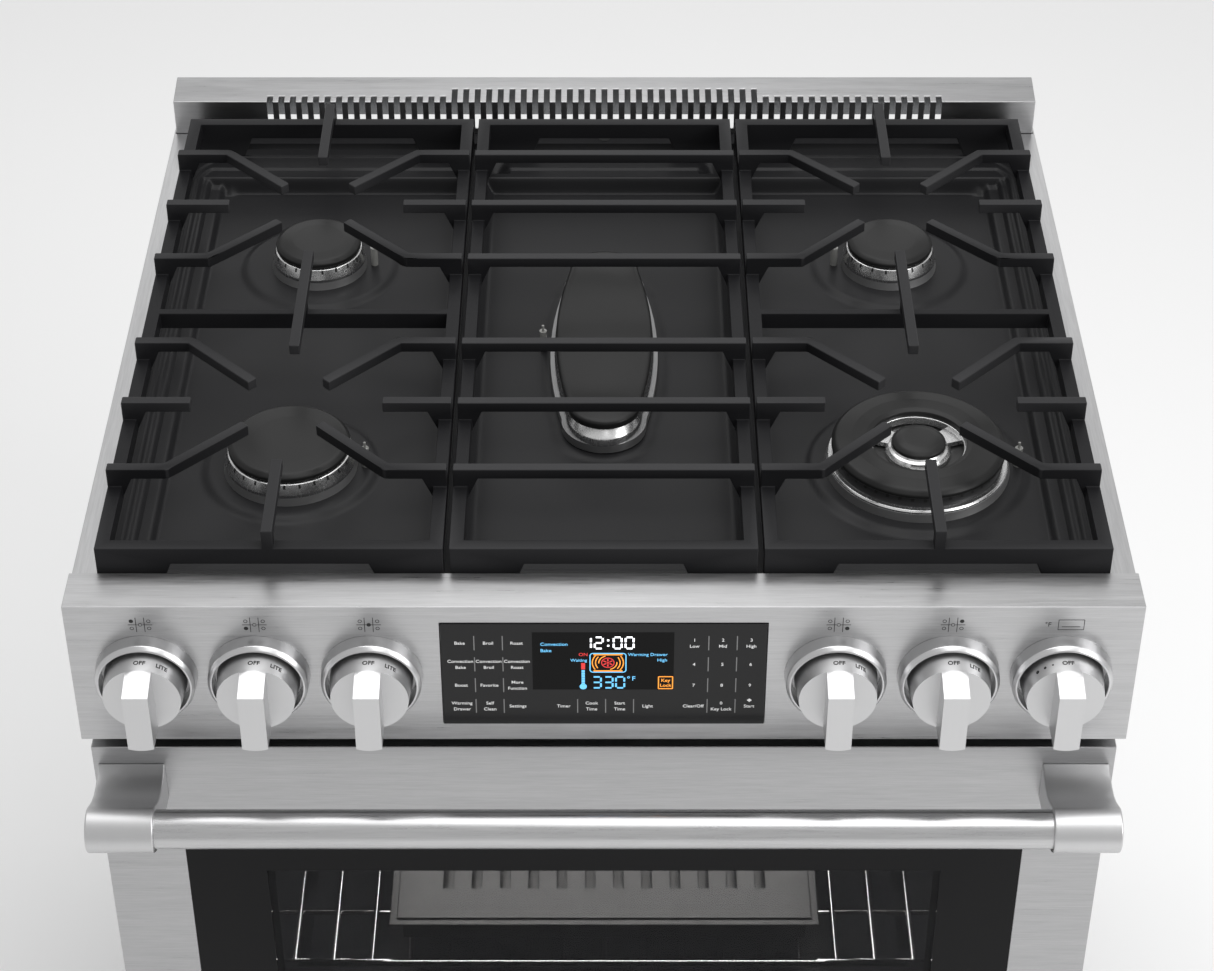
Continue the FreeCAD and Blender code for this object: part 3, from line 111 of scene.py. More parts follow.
def brushedGroup(axis):
    # fine streaks along one axis: long hairlines plus a slower shade that drifts along the sheet
    along = {"x": (0.035, 1, 1), "y": (1, 0.035, 1), "z": (1, 1, 0.035)}[axis]
    tree, given, out = newGroup(
        f"brushedAlong{axis.upper()}",
        [("Line Scale", "NodeSocketFloat", 900.0), ("Contrast", "NodeSocketFloat", 1.0)],
        [("Streak", "NodeSocketFloat"), ("Drift", "NodeSocketFloat")],
    )
    vector = stretched(tree, along)
    fine = noise(tree, vector, given.outputs["Line Scale"], 4.0, 0.7)
    wide = noise(tree, vector, 140.0, 3.0, 0.55)
    mixed = mathNode(tree, "ADD", mathNode(tree, "MULTIPLY", fine, 0.65), mathNode(tree, "MULTIPLY", wide, 0.35))
    centred = mathNode(tree, "SUBTRACT", mixed, 0.5)
    scaled = mathNode(tree, "MULTIPLY", centred, given.outputs["Contrast"])
    tree.links.new(mathNode(tree, "ADD", scaled, 0.5), out.inputs["Streak"])
    drift = noise(tree, stretched(tree, (1, 1, 1)), 3.0, 1.0)
    tree.links.new(drift, out.inputs["Drift"])
    return tree


def grainGroup():
    # cast or enamelled surface: a soft orange peel and finer pits
    tree, given, out = newGroup(
        "surfaceGrain",
        [("Coarse", "NodeSocketFloat", 180.0), ("Fine", "NodeSocketFloat", 900.0), ("Pits", "NodeSocketFloat", 0.5)],
        [("Height", "NodeSocketFloat"), ("Patch", "NodeSocketFloat")],
    )
    vector = stretched(tree, (1, 1, 1))
    coarse = noise(tree, vector, given.outputs["Coarse"], 2.0)
    fine = noise(tree, vector, given.outputs["Fine"], 4.0, 0.65)
    pitted = mathNode(tree, "MULTIPLY", fine, given.outputs["Pits"])
    tree.links.new(mathNode(tree, "ADD", coarse, pitted), out.inputs["Height"])
    tree.links.new(noise(tree, vector, 9.0, 3.0), out.inputs["Patch"])
    return tree


def makeEdgeHighlightGroup():
    # painted edge highlight: where an edge is sharp the base colour turns lighter, standing in for the shine that
    # edges catch
    tree, given, out = newGroup("edgeShine", [], [("Edge", "NodeSocketFloat")])
    geometry = tree.nodes.new("ShaderNodeNewGeometry")
    ramp = tree.nodes.new("ShaderNodeMapRange")
    ramp.inputs["From Min"].default_value = 0.52
    ramp.inputs["From Max"].default_value = 0.62
    tree.links.new(geometry.outputs["Pointiness"], ramp.inputs["Value"])
    tree.links.new(ramp.outputs["Result"], out.inputs["Edge"])
    return tree


groups = {
    "x": brushedGroup("x"), "y": brushedGroup("y"), "z": brushedGroup("z"),
    "grain": grainGroup(), "edge": makeEdgeHighlightGroup(),
}
print("shader groups built")


# ---- materials

def newMaterial(name):
    material = bpy.data.materials.new(name)
    material.use_nodes = True
    tree = material.node_tree
    shader = next(n for n in tree.nodes if n.type == "BSDF_PRINCIPLED")
    return material, tree, shader


def place(tree, key, **values):
    node = tree.nodes.new("ShaderNodeGroup")
    node.node_tree = groups[key]
    for socket, value in values.items():
        node.inputs[socket.replace("_", " ")].default_value = value
    return node


def ramped(tree, value, low, high, fromLow=0.0, fromHigh=1.0):
    node = tree.nodes.new("ShaderNodeMapRange")
    node.inputs["From Min"].default_value = fromLow
    node.inputs["From Max"].default_value = fromHigh
    node.inputs["To Min"].default_value = low
    node.inputs["To Max"].default_value = high
    tree.links.new(value, node.inputs["Value"])
    return node.outputs["Result"]


def mixed(tree, factor, one, two):
    node = tree.nodes.new("ShaderNodeMix")
    node.data_type = "RGBA"
    tree.links.new(factor, node.inputs["Factor"])
    for socket, value in ((node.inputs[6], one), (node.inputs[7], two)):
        if isinstance(value, tuple):
            socket.default_value = (*value, 1.0)
        else:
            tree.links.new(value, socket)
    return node.outputs[2]


def bumped(tree, shader, height, distance, strength=1.0):
    bump = tree.nodes.new("ShaderNodeBump")
    bump.inputs["Distance"].default_value = distance
    bump.inputs["Strength"].default_value = strength
    tree.links.new(height, bump.inputs["Height"])
    tree.links.new(bump.outputs["Normal"], shader.inputs["Normal"])


def brushedSteel(name, axis, spec):
    material, tree, shader = newMaterial(name)
    streaks = place(tree, axis, Line_Scale=spec["lines"], Contrast=spec["contrast"])
    tone = mixed(tree, streaks.outputs["Streak"], spec["dark"], spec["light"])
    tree.links.new(tone, shader.inputs["Base Color"])
    rough = ramped(tree, streaks.outputs["Streak"], spec["rough"][0], spec["rough"][1], 0.2, 0.8)
    tree.links.new(rough, shader.inputs["Roughness"])
    shader.inputs["Metallic"].default_value = 1.0
    bumped(tree, shader, streaks.outputs["Streak"], spec["bump"], 0.5)
    return material


def enamel(name, spec):
    material, tree, shader = newMaterial(name)
    grain = place(tree, "grain", Coarse=spec.get("coarse", 120.0), Fine=spec.get("fine", 700.0),
                  Pits=spec.get("pits", 0.3))
    edge = place(tree, "edge")
    base = mixed(tree, grain.outputs["Patch"], spec["dark"], spec["light"])
    # the lighter colour on sharp edges is a painted edge highlight
    highlightedBase = mixed(tree, edge.outputs["Edge"], base, spec.get("edge", spec["light"]))
    tree.links.new(highlightedBase, shader.inputs["Base Color"])
    low, high = spec["rough"]
    tree.links.new(ramped(tree, grain.outputs["Patch"], low, high, 0.3, 0.7), shader.inputs["Roughness"])
    shader.inputs["Coat Weight"].default_value = spec.get("coat", 0.0)
    shader.inputs["Coat Roughness"].default_value = 0.12
    shader.inputs["Metallic"].default_value = spec.get("metal", 0.0)
    if "level" in spec:
        shader.inputs["Specular IOR Level"].default_value = spec["level"]
    bumped(tree, shader, grain.outputs["Height"], spec["bump"], spec.get("strength", 0.4))
    return material


def glowing(name, colour, strength):
    # lit or printed marks: a faint unevenness keeps them from looking like flat paint
    material, tree, shader = newMaterial(name)
    grain = place(tree, "grain")
    tone = mixed(tree, grain.outputs["Patch"], colour, tuple(c * 0.9 for c in colour))
    tree.links.new(tone, shader.inputs["Base Color"])
    if strength:
        tree.links.new(tone, shader.inputs["Emission Color"])
        shader.inputs["Emission Strength"].default_value = strength
    shader.inputs["Roughness"].default_value = 0.45
    return material


def glassy(name, colour, alpha, rough=0.03):
    material, tree, shader = newMaterial(name)
    grain = place(tree, "grain", Coarse=12.0)
    tone = mixed(tree, grain.outputs["Patch"], colour, tuple(c * 0.8 for c in colour))
    tree.links.new(tone, shader.inputs["Base Color"])
    shader.inputs["Roughness"].default_value = rough
    shader.inputs["Alpha"].default_value = alpha
    shader.inputs["Specular IOR Level"].default_value = 0.2
    bumped(tree, shader, grain.outputs["Height"], 0.00002, 0.2)
    return material


def screenMaterial(spec):
    # the oven side of the window: a grid of small dots that light passes between
    material, tree, shader = newMaterial("windowDotScreen")
    checks = tree.nodes.new("ShaderNodeTexChecker")
    checks.inputs["Scale"].default_value = 1.0 / spec["pitch"]
    tree.links.new(stretched(tree, (1, 0, 1)), checks.inputs["Vector"])
    dots = ramped(tree, checks.outputs["Fac"], spec["open"], spec["closed"])
    tree.links.new(mixed(tree, dots, (0.002, 0.002, 0.002), (0.004, 0.004, 0.004)), shader.inputs["Base Color"])
    shader.inputs["Roughness"].default_value = 0.5
    shader.inputs["Specular IOR Level"].default_value = 0.05
    tree.links.new(dots, shader.inputs["Alpha"])
    return material


steelLook = {"dark": (0.40, 0.40, 0.405), "light": (0.62, 0.62, 0.625), "rough": (0.26, 0.38), "lines": 900.0,
             "contrast": 1.6, "bump": 0.00004}

def sidePanel():
    # painted sides whose top strip is the stainless trim beside the cooktop
    material, tree, shader = newMaterial("sidePanel")
    grain = place(tree, "grain", Coarse=500.0)
    streaks = place(tree, "y", Line_Scale=900.0, Contrast=1.6)
    split = tree.nodes.new("ShaderNodeSeparateXYZ")
    tree.links.new(stretched(tree, (1, 1, 1)), split.inputs[0])
    steelPart = ramped(tree, split.outputs["Z"], 0.0, 1.0, 0.9035, 0.9045)
    paint = mixed(tree, grain.outputs["Patch"], (0.16, 0.16, 0.165), (0.19, 0.19, 0.195))
    steel = mixed(tree, streaks.outputs["Streak"], steelLook["dark"], steelLook["light"])
    tree.links.new(mixed(tree, steelPart, paint, steel), shader.inputs["Base Color"])
    tree.links.new(steelPart, shader.inputs["Metallic"])
    tree.links.new(ramped(tree, steelPart, 0.46, 0.32), shader.inputs["Roughness"])
    bumped(tree, shader, grain.outputs["Height"], 0.00004, 0.4)
    return material


materials = {
    "panelSteel": brushedSteel("panelSteel", "x", steelLook),
    # the door and drawer fronts use the panel's stainless made darker: painted shade on those fronts
    "doorSteel": brushedSteel("doorSteel", "x", {**steelLook, "dark": (0.34, 0.34, 0.345),
                                                 "light": (0.52, 0.52, 0.525)}),
    "handleSteel": brushedSteel("handleSteel", "x", {**steelLook, "rough": (0.24, 0.34), "lines": 500.0,
                                                     "dark": (0.44, 0.44, 0.445), "light": (0.66, 0.66, 0.665)}),
    "satinSteel": brushedSteel("satinSteel", "z", {**steelLook, "dark": (0.56, 0.56, 0.565),
                                                   "light": (0.64, 0.64, 0.645),
                                                   "rough": (0.36, 0.41), "contrast": 0.6, "bump": 0.00001}),
    "zincSteel": brushedSteel("zincSteel", "z", {**steelLook, "dark": (0.42, 0.43, 0.44), "light": (0.55, 0.56, 0.57),
                                                 "rough": (0.38, 0.5), "lines": 200.0, "contrast": 1.0}),
    "chromePlate": brushedSteel("chromePlate", "x", {**steelLook, "dark": (0.72, 0.72, 0.73),
                                                     "light": (0.8, 0.8, 0.81),
                                                     "rough": (0.05, 0.09), "contrast": 0.4, "bump": 0.000005}),
    "castHead": brushedSteel("castHead", "z", {**steelLook, "dark": (0.66, 0.66, 0.66), "light": (0.8, 0.8, 0.8),
                                               "rough": (0.2, 0.32), "lines": 700.0, "contrast": 0.8}),
    "brassTurned": brushedSteel("brassTurned", "y", {**steelLook, "dark": (0.5, 0.36, 0.14),
                                                     "light": (0.62, 0.47, 0.2),
                                                     "rough": (0.25, 0.4), "contrast": 0.8}),
    "castIron": enamel("castIron", {"dark": (0.008, 0.008, 0.009), "light": (0.013, 0.013, 0.014),
                                    "rough": (0.38, 0.48),
                                    # this edge colour is a painted highlight along the grates' sharp edges
                                    "edge": (0.05, 0.05, 0.052), "bump": 0.00012, "coarse": 260.0, "pits": 0.7,
                                    "strength": 0.5, "level": 0.12}),
    "deckEnamel": enamel("deckEnamel", {"dark": (0.010, 0.010, 0.011), "light": (0.016, 0.016, 0.017),
                                        "rough": (0.36, 0.44),
                                        "bump": 0.00004, "level": 0.2, "coarse": 60.0}),
    "capEnamel": enamel("capEnamel", {"dark": (0.010, 0.010, 0.010), "light": (0.015, 0.015, 0.015),
                                      "rough": (0.33, 0.4), "level": 0.24,
                                      "bump": 0.00005, "coarse": 200.0}),
    "baseIron": enamel("baseIron", {"dark": (0.22, 0.22, 0.222), "light": (0.32, 0.32, 0.323), "rough": (0.35, 0.5),
                                    "bump": 0.00008, "metal": 0.8}),
    "blackPaint": enamel("blackPaint", {"dark": (0.012, 0.012, 0.012), "light": (0.018, 0.018, 0.018),
                                        "rough": (0.4, 0.5),
                                        "bump": 0.00008}),
    "ovenEnamel": enamel("ovenEnamel", {"dark": (0.018, 0.019, 0.022), "light": (0.035, 0.036, 0.04),
                                        "rough": (0.22, 0.34),
                                        "bump": 0.00006, "coat": 0.3, "fine": 1400.0}),
    "panEnamel": enamel("panEnamel", {"dark": (0.03, 0.03, 0.032), "light": (0.045, 0.045, 0.047),
                                      "rough": (0.2, 0.3),
                                      "bump": 0.00006, "coat": 0.2, "fine": 1400.0}),
    "gasketWeave": enamel("gasketWeave", {"dark": (0.03, 0.03, 0.03), "light": (0.07, 0.07, 0.07),
                                          "rough": (0.8, 0.95),
                                          "bump": 0.0006, "coarse": 700.0, "strength": 0.9}),
    "glassWool": enamel("glassWool", {"dark": (0.42, 0.38, 0.28), "light": (0.6, 0.56, 0.44), "rough": (0.85, 0.98),
                                      "bump": 0.0015, "coarse": 120.0, "strength": 1.0}),
    "ceramicWhite": enamel("ceramicWhite", {"dark": (0.20, 0.20, 0.19), "light": (0.26, 0.26, 0.25),
                                            "rough": (0.12, 0.2),
                                            "bump": 0.00003, "coat": 0.5}),
    "boardPlastic": enamel("boardPlastic", {"dark": (0.015, 0.015, 0.015), "light": (0.03, 0.03, 0.03),
                                            "rough": (0.5, 0.6),
                                            "bump": 0.0001}),
    "borderGlass": enamel("borderGlass", {"dark": (0.0045, 0.0045, 0.005), "light": (0.006, 0.006, 0.0065),
                                          "rough": (0.03, 0.05), "bump": 0.00001, "coarse": 6.0, "strength": 0.1,
                                          "level": 0.12}),
    "displayGlass": enamel("displayGlass", {"dark": (0.006, 0.006, 0.0065), "light": (0.008, 0.008, 0.0085),
                                            "rough": (0.12, 0.16), "bump": 0.00001, "coarse": 6.0, "strength": 0.1,
                                            "level": 0.3}),
    "windowGlass": glassy("windowGlass", (0.02, 0.02, 0.022), 0.22),
    "innerGlass": glassy("innerGlass", (0.02, 0.022, 0.022), 0.08),
    "lampGlass": glassy("lampGlass", (0.8, 0.8, 0.78), 0.45),
    "dotScreen": screenMaterial({"pitch": 0.0014, "open": 0.2, "closed": 0.5}),
    "printBlack": glowing("printBlack", (0.012, 0.012, 0.012), 0.0),
    "printWhite": glowing("printWhite", (0.75, 0.75, 0.75), 0.25),
    "litWhite": glowing("litWhite", (0.95, 0.97, 1.0), 1.6),
    "litBlue": glowing("litBlue", (0.13, 0.47, 0.78), 0.9),
    "litOrange": glowing("litOrange", (0.85, 0.30, 0.03), 0.9),
    "litRed": glowing("litRed", (0.62, 0.03, 0.03), 0.7),
    "linePale": glowing("linePale", (0.22, 0.22, 0.22), 0.0),
    "bandIron": enamel("bandIron", {"dark": (0.055, 0.055, 0.057), "light": (0.08, 0.08, 0.082),
                                    "rough": (0.34, 0.44),
                                    "bump": 0.00005, "metal": 0.7}),
    "screenBlack": enamel("screenBlack", {"dark": (0.002, 0.002, 0.002), "light": (0.003, 0.003, 0.003),
                                          "rough": (0.10, 0.13),
                                          "bump": 0.00001, "coarse": 6.0, "strength": 0.1, "level": 0.12}),
    # the backguard uses the panel's stainless made darker: a painted reflection of the dark cooktop on its face
    "guardSteel": brushedSteel("guardSteel", "x", {**steelLook, "dark": (0.34, 0.34, 0.345),
                                                   "light": (0.5, 0.5, 0.505)}),
    "sidePanel": sidePanel(),
    "knobMetal": brushedSteel("knobMetal", "z", {**steelLook, "dark": (0.60, 0.60, 0.605),
                                                 "light": (0.66, 0.66, 0.665),
                                                 "rough": (0.38, 0.43), "contrast": 0.5, "bump": 0.00001}),
    "bezelSteel": brushedSteel("bezelSteel", "x", {**steelLook, "dark": (0.58, 0.58, 0.585),
                                                   "light": (0.64, 0.64, 0.645),
                                                   "rough": (0.26, 0.31), "contrast": 0.5, "bump": 0.00001}),
    "paleFloor": enamel("paleFloor", {"dark": (0.86, 0.86, 0.86), "light": (0.88, 0.88, 0.88), "rough": (0.6, 0.7),
                                      "bump": 0.00002, "level": 0.2}),
}
print("materials built")


# ---- mesh helpers

def addMesh(name, verts, faces, material, body="root", sharp=35.0, part=None):
    mesh = bpy.data.meshes.new(name)
    mesh.from_pydata([tuple(v) for v in verts], [], faces)
    mesh.materials.append(materials[material])
    mesh.polygons.foreach_set("use_smooth", [True] * len(mesh.polygons))
    mesh.set_sharp_from_angle(angle=math.radians(sharp))
    piece = bpy.data.objects.new(name, mesh)
    bpy.context.scene.collection.objects.link(piece)
    if body:
        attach(piece, body)
    return piece


def bevelled(piece, width, segments=2, angle=30.0):
    bevel = piece.modifiers.new("edgeRounding", "BEVEL")
    bevel.width = width
    bevel.segments = segments
    bevel.limit_method = "ANGLE"
    bevel.angle_limit = math.radians(angle)
    bevel.harden_normals = False
    bevel.use_clamp_overlap = True
    shade = piece.modifiers.new("flatShading", "WEIGHTED_NORMAL")
    shade.keep_sharp = False
    return piece


def rounded(points, radii, closed=False, steps=5):
    # rounds the corners of an outline
    result = []
    count = len(points)
    for index, point in enumerate(points):
        radius = radii[index] if isinstance(radii, (list, tuple)) else radii
        if not radius or (not closed and index in (0, count - 1)):
            result.append(tuple(point))
            continue
        here, before, after = (Vector(points[i % count]) for i in (index, index - 1, index + 1))
        toBefore, toAfter = before - here, after - here
        run = radius / math.tan(max(toBefore.angle(toAfter) / 2, 0.05))
        run = min(run, toBefore.length * 0.49, toAfter.length * 0.49)
        start, end = here + toBefore.normalized() * run, here + toAfter.normalized() * run
        for step in range(steps + 1):
            t = step / steps
            result.append(tuple(start * (1 - t) ** 2 + here * 2 * t * (1 - t) + end * t ** 2))
    return result


def lathe(profile, segments=96):
    # turns (radius, height) points about +Z. A zero radius closes to a point
    verts, faces, rings = [], [], []
    for radius, height in profile:
        if radius < 1e-7:
            rings.append([len(verts)])
            verts.append((0.0, 0.0, height))
            continue
        rings.append(list(range(len(verts), len(verts) + segments)))
        for step in range(segments):
            turn = 2 * math.pi * step / segments
            verts.append((radius * math.cos(turn), radius * math.sin(turn), height))
    for low, high in zip(rings, rings[1:]):
        for step in range(segments):
            nextStep = (step + 1) % segments
            if len(low) == 1:
                faces.append((low[0], high[nextStep], high[step])[::-1])
            elif len(high) == 1:
                faces.append((low[step], low[nextStep], high[0]))
            else:
                faces.append((low[step], low[nextStep], high[nextStep], high[step]))
    return verts, faces


def moved(shape, x, y, z):
    verts, faces = shape
    return [(v[0] + x, v[1] + y, v[2] + z) for v in verts], faces


def joined(shapes):
    verts, faces = [], []
    for someVerts, someFaces in shapes:
        base = len(verts)
        verts += list(someVerts)
        faces += [tuple(i + base for i in face) for face in someFaces]
    return verts, faces


def prism(outline, low, high):
    # an outline given in two coordinates, drawn out between low and high along the third
    count = len(outline)
    verts = [(a, b, low) for a, b in outline] + [(a, b, high) for a, b in outline]
    faces = [tuple(range(count))[::-1], tuple(range(count, 2 * count))]
    faces += [(i, (i + 1) % count, (i + 1) % count + count, i + count) for i in range(count)]
    return verts, faces


def onPanel(shape, x, z, y):
    # turns a shape drawn flat, facing +Z, so that it faces the front at x, z; y is its zero height
    verts, faces = shape
    return [(v[0] + x, y - v[2], v[1] + z) for v in verts], faces


def slab(x0, x1, y0, y1, z0, z1):
    return prism([(x0, y0), (x1, y0), (x1, y1), (x0, y1)], z0, z1)


def smoothStep(value, low, high):
    t = min(max((value - low) / (high - low), 0.0), 1.0)
    return t * t * (3 - 2 * t)


# ---- cooktop

def stepsOf(distance, levels):
    # sum of smooth drops, each given as (from, to, how deep)
    return sum(deep * smoothStep(distance, start, end) for start, end, deep in levels)


rimZ = mm(914)
sideSteps = [(0, 2, 1.2), (6, 9.5, 4.0), (13, 16.5, 4.8), (23.5, 28.5, 6.5)]
rearSteps = [(0, 2.2, 1.4), (17.5, 20, 1.6), (31, 37, 13.5)]
frontSteps = [(0, 4, 3.0), (8, 18, 13.5)]
innerSteps = [(0, 12, 16.5)]
splits = [-111.25, 111.25]


def cornerDrop(dx, xSteps, dy, ySteps, radius):
    # drop at distances dx, dy from two edges; the steps of one turn into those of the other round the corner
    if dx >= radius or dy >= radius:
        return min(stepsOf(dx, xSteps), stepsOf(dy, ySteps))
    out = (radius - dx, radius - dy)
    distance = radius - math.hypot(*out)
    turn = math.atan2(out[1], out[0]) / (math.pi / 2)
    return stepsOf(distance, xSteps) * (1 - turn) + stepsOf(distance, ySteps) * turn


burnerSpots = [(-236.8, 471.6, 66.5), (236.8, 471.6, 66.5), (-236.8, 197, 68.5), (236.8, 197, 85.5)]


def ovalDistance(x, y, grow):
    # how far a point lies outside the long burner's outline
    y = abs(y - 336)
    reach = 91.0
    if y > reach:
        return math.hypot(x, y - reach) - 28 - grow
    return abs(x) - (38 - y * y / 800) - grow


def deckHeight(x, y):
    # top of the cooktop pan, in mm, at x and y behind the panel's face
    if y > 622:
        onPlate = smoothStep(y, 641, 642.4) * (1 - smoothStep(abs(x), 331, 333.5))
        recess = smoothStep(y, 638, 641) * smoothStep(abs(x), 331, 333.5) * (1 - smoothStep(abs(x), 350, 352))
        return 914 - 5.0 * smoothStep(y, 623.5, 625) * (1 - onPlate) - 8 * recess
    rear, front = 622 - y, y - 52
    if abs(x) > 111.25:
        outer, inner = 356 - abs(x), abs(x) - 115.5
        sides = [(outer, sideSteps, 40), (inner, innerSteps, 20)]
    else:
        sides = [(107 - abs(x), innerSteps, 20)] * 2
    drops = []
    for across, steps, radius in sides:
        drops.append(cornerDrop(across, steps, rear, rearSteps, radius if steps is sideSteps else 24))
        drops.append(cornerDrop(across, steps, front, frontSteps, 18))
    drop = min(drops)
    height = 914 - min(drop, 16.5)
    for bx, by, radius in burnerSpots:
        away = math.hypot(x - bx, y - by)
        if away < radius + 2:
            height += 3.0 * (1 - smoothStep(away, radius - 7, radius)) * smoothStep(drop, 15, 16.5)
    return height + 1.6 * (1 - smoothStep(ovalDistance(x, y, 14), -6, 0)) * (abs(x) < 70)


def lines(bounds):
    # grid lines from (from, to, pitch) runs
    values = []
    for low, high, pitch in bounds:
        count = max(1, round((high - low) / pitch))
        values += [low + (high - low) * i / count for i in range(count)]
    return values + [bounds[-1][1]]


coarse = 2.5
xLines = lines([(-358.75, -322, 1.2), (-322, -128, coarse), (-128, -94, 1.7), (-94, 94, coarse), (94, 128, 1.7),
                (128, 322, coarse), (322, 358.75, 1.2)])
yLines = lines([(37, 74, 1.7), (74, 580, coarse), (580, 626, 0.9), (626, 646, 0.9), (646, 659.5, 2)])
deckVerts = [(mm(x), faceY + mm(y), mm(deckHeight(x, y))) for y in yLines for x in xLines]
wide, deep = len(xLines), len(yLines)
deckFaces = [(j * wide + i, j * wide + i + 1, (j + 1) * wide + i + 1, (j + 1) * wide + i)
             for j in range(deep - 1) for i in range(wide - 1)]
border = [(i, 0) for i in range(wide)] + [(wide - 1, j) for j in range(1, deep)]
border += [(i, deep - 1) for i in range(wide - 2, -1, -1)] + [(0, j) for j in range(deep - 2, 0, -1)]
base = len(deckVerts)
deckVerts += [(mm(xLines[i]), faceY + mm(yLines[j]), deckLow.z) for i, j in border]
for index, (i, j) in enumerate(border):
    after = (index + 1) % len(border)
    nextI, nextJ = border[after]
    deckFaces.append((j * wide + i, base + index, base + after, nextJ * wide + nextI))
deckFaces.append(tuple(range(base, base + len(border)))[::-1])
pan = addMesh("cooktopPan", deckVerts, deckFaces, "deckEnamel", sharp=50, part="black_enamel")
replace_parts(pan, "cooktop_deck")

screws = joined([moved(lathe([(0, 0), (mm(4.6), 0), (mm(4.6), mm(0.4)), (mm(3.4), mm(0.4)), (mm(3.0), mm(-1.2)),
                              (0, mm(-1.2))], 32),
                       mm(x), faceY + mm(650.5), rimZ + mm(0.05)) for x in (-321, 0, 319)])
addMesh("deckScrews", *screws, "printBlack", part="black_enamel")
print("cooktop built")


# ---- burners

def capProfile(radius, thick, crown):
    # a cap with a rounded rim and a very slightly crowned top
    points = [(0, 0), (radius - 1.2, 0), (radius, 1.2), (radius, thick - 3.0), (radius - 3.4, thick - 0.4),
              (radius * 0.6, thick + crown * 0.6), (0, thick + crown)]
    return [(mm(r), mm(h)) for r, h in rounded(points, [0, 0.8, 0.8, 2.4, 6, 20, 0])]


capLow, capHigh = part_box("round_burner_caps")
capZ = capLow.z
roundCaps = joined([moved(lathe(capProfile(radius, 7.0, 0.8), 128), mm(x), faceY + mm(y), capZ)
                    for x, y, radius in ((-236.8, 471.6, 35), (236.8, 471.6, 35), (-236.8, 197, 46))])
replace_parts(addMesh("roundCaps", *roundCaps, "capEnamel", sharp=60, part="burner_enamel"), "round_burner_caps")

ringOutline = [(36.0, 0.4), (64.5, 0), (65.5, 1), (65.5, 3.2), (62.2, 6.6), (50, 7.6), (40, 6.8), (36.4, 5.6),
               (36.0, 4.6)]
ringProfile = [(mm(r), mm(h)) for r, h in rounded(ringOutline + ringOutline[:1],
                                                  [0, 0.5, 0.5, 2.6, 5, 8, 1.5, 0.6, 0.5, 0])]
crownProfile = capProfile(20.5, 6.5, 1.4)
bigCaps = joined([moved(lathe(ringProfile, 160), mm(236.8), faceY + mm(197), capZ),
                  moved(lathe(crownProfile, 96), mm(236.8), faceY + mm(197), capZ + mm(1.5))])
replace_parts(addMesh("bigBurnerCaps", *bigCaps, "capEnamel", sharp=60, part="burner_enamel"), "right_front_caps")


def wheel(x, y, z):
    # the big burner's polished middle: a hub, a raised seat ring and three spokes over dark wells
    hub = rounded([(0, 3), (17, 3), (19, 1), (20.5, -1), (22.5, -2), (24.5, -4.5), (25, -7)], [0, 1, 1, 1, 1, 1, 0])
    shapes = [moved(lathe([(mm(r), mm(h)) for r, h in hub[::-1]], 96), x, y, z)]
    ring = rounded([(34.5, -6), (34.5, 0.2), (36.5, 0.2), (36.5, -6)], [0, 0.5, 0.5, 0])
    shapes.append(moved(lathe([(mm(r), mm(h)) for r, h in ring[::-1]], 96), x, y, z))
    for index in range(3):
        turn = math.radians(30 + 120 * index)
        spoke = prism(rounded([(20, -7), (36, -10), (36, 10), (20, 7)], [2, 0, 0, 2], closed=True), -6, -2.2)
        verts = [(mm(a * math.cos(turn) - b * math.sin(turn)), mm(a * math.sin(turn) + b * math.cos(turn)), mm(c))
                 for a, b, c in spoke[0]]
        shapes.append(moved((verts, spoke[1]), x, y, z))
    return joined(shapes)


def portShadeMarks(x, y, top, low, count, wide):
    # painted shade of the small gas ports: dark marks on a sloping ring where the port holes would be; top and low
    # are (radius, height) in mm
    verts, faces = [], []
    for index in range(count):
        turn = 2 * math.pi * (index + 0.5) / count
        for radius, height in (top, low):
            for side in (-1, 1):
                angle = turn + side * wide / 2 / radius
                verts.append((x + mm(radius) * math.cos(angle), y + mm(radius) * math.sin(angle), mm(height)))
        base = 4 * index
        faces.append((base, base + 2, base + 3, base + 1))
    return verts, faces


headsLow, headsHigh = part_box("round_burner_heads")
headTop, headFoot = headsHigh.z * 1000, headsLow.z * 1000
headShapes, portShadeShapes = [], []
for x, y, radius in ((-236.8, 471.6, 35), (236.8, 471.6, 35), (-236.8, 197, 46)):
    profile = rounded([(radius + 3.2, headFoot), (radius + 3.4, headFoot + 2.4), (radius + 0.6, headTop - 1.0),
                       (radius - 2, headTop),
                       (0, headTop)], [0, 0.8, 0.6, 0, 0])
    headPlace = (mm(x), faceY + mm(y))
    headShapes.append(moved(lathe([(mm(r), mm(h)) for r, h in profile], 128), *headPlace, 0))
    portShadeShapes.append(portShadeMarks(*headPlace, (radius + 0.75, headTop - 0.9), (radius + 1.75, headTop - 4.2),
                                round(2 * math.pi * radius / 11), 1.6))
bigSpot = (mm(236.8), faceY + mm(197))
bigBand = rounded([(66, headFoot + 2.2), (63.6, headFoot + 3), (62.6, headTop - 0.6), (60, headTop), (38, headTop)],
                  [0, 0.6, 0.6, 0, 0])
bigRing = rounded([(68.4, headFoot), (68.7, headFoot + 1.6), (67.4, headFoot + 3), (64, headFoot + 3.2)],
                  [0, 0.6, 0.6, 0])
headShapes.append(moved(lathe([(mm(r), mm(h)) for r, h in bigRing], 160), *bigSpot, 0))
heads = addMesh("roundBurnerHeads", *joined(headShapes), "castHead", sharp=45, part="burner_aluminium")
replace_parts(heads, "round_burner_heads")
addMesh("bigBurnerBand", *moved(lathe([(mm(r), mm(h)) for r, h in bigBand], 160), *bigSpot, 0), "bandIron", sharp=45,
        part="burner_aluminium")
portShadeShapes.append(portShadeMarks(*bigSpot, (62.9, headTop - 0.7), (63.6, headTop - 3.6), 42, 2.4))
# painted shade: flat black marks stand in for the dark insides of the port holes
addMesh("gasPorts", *joined(portShadeShapes), "printBlack", part="burner_aluminium")


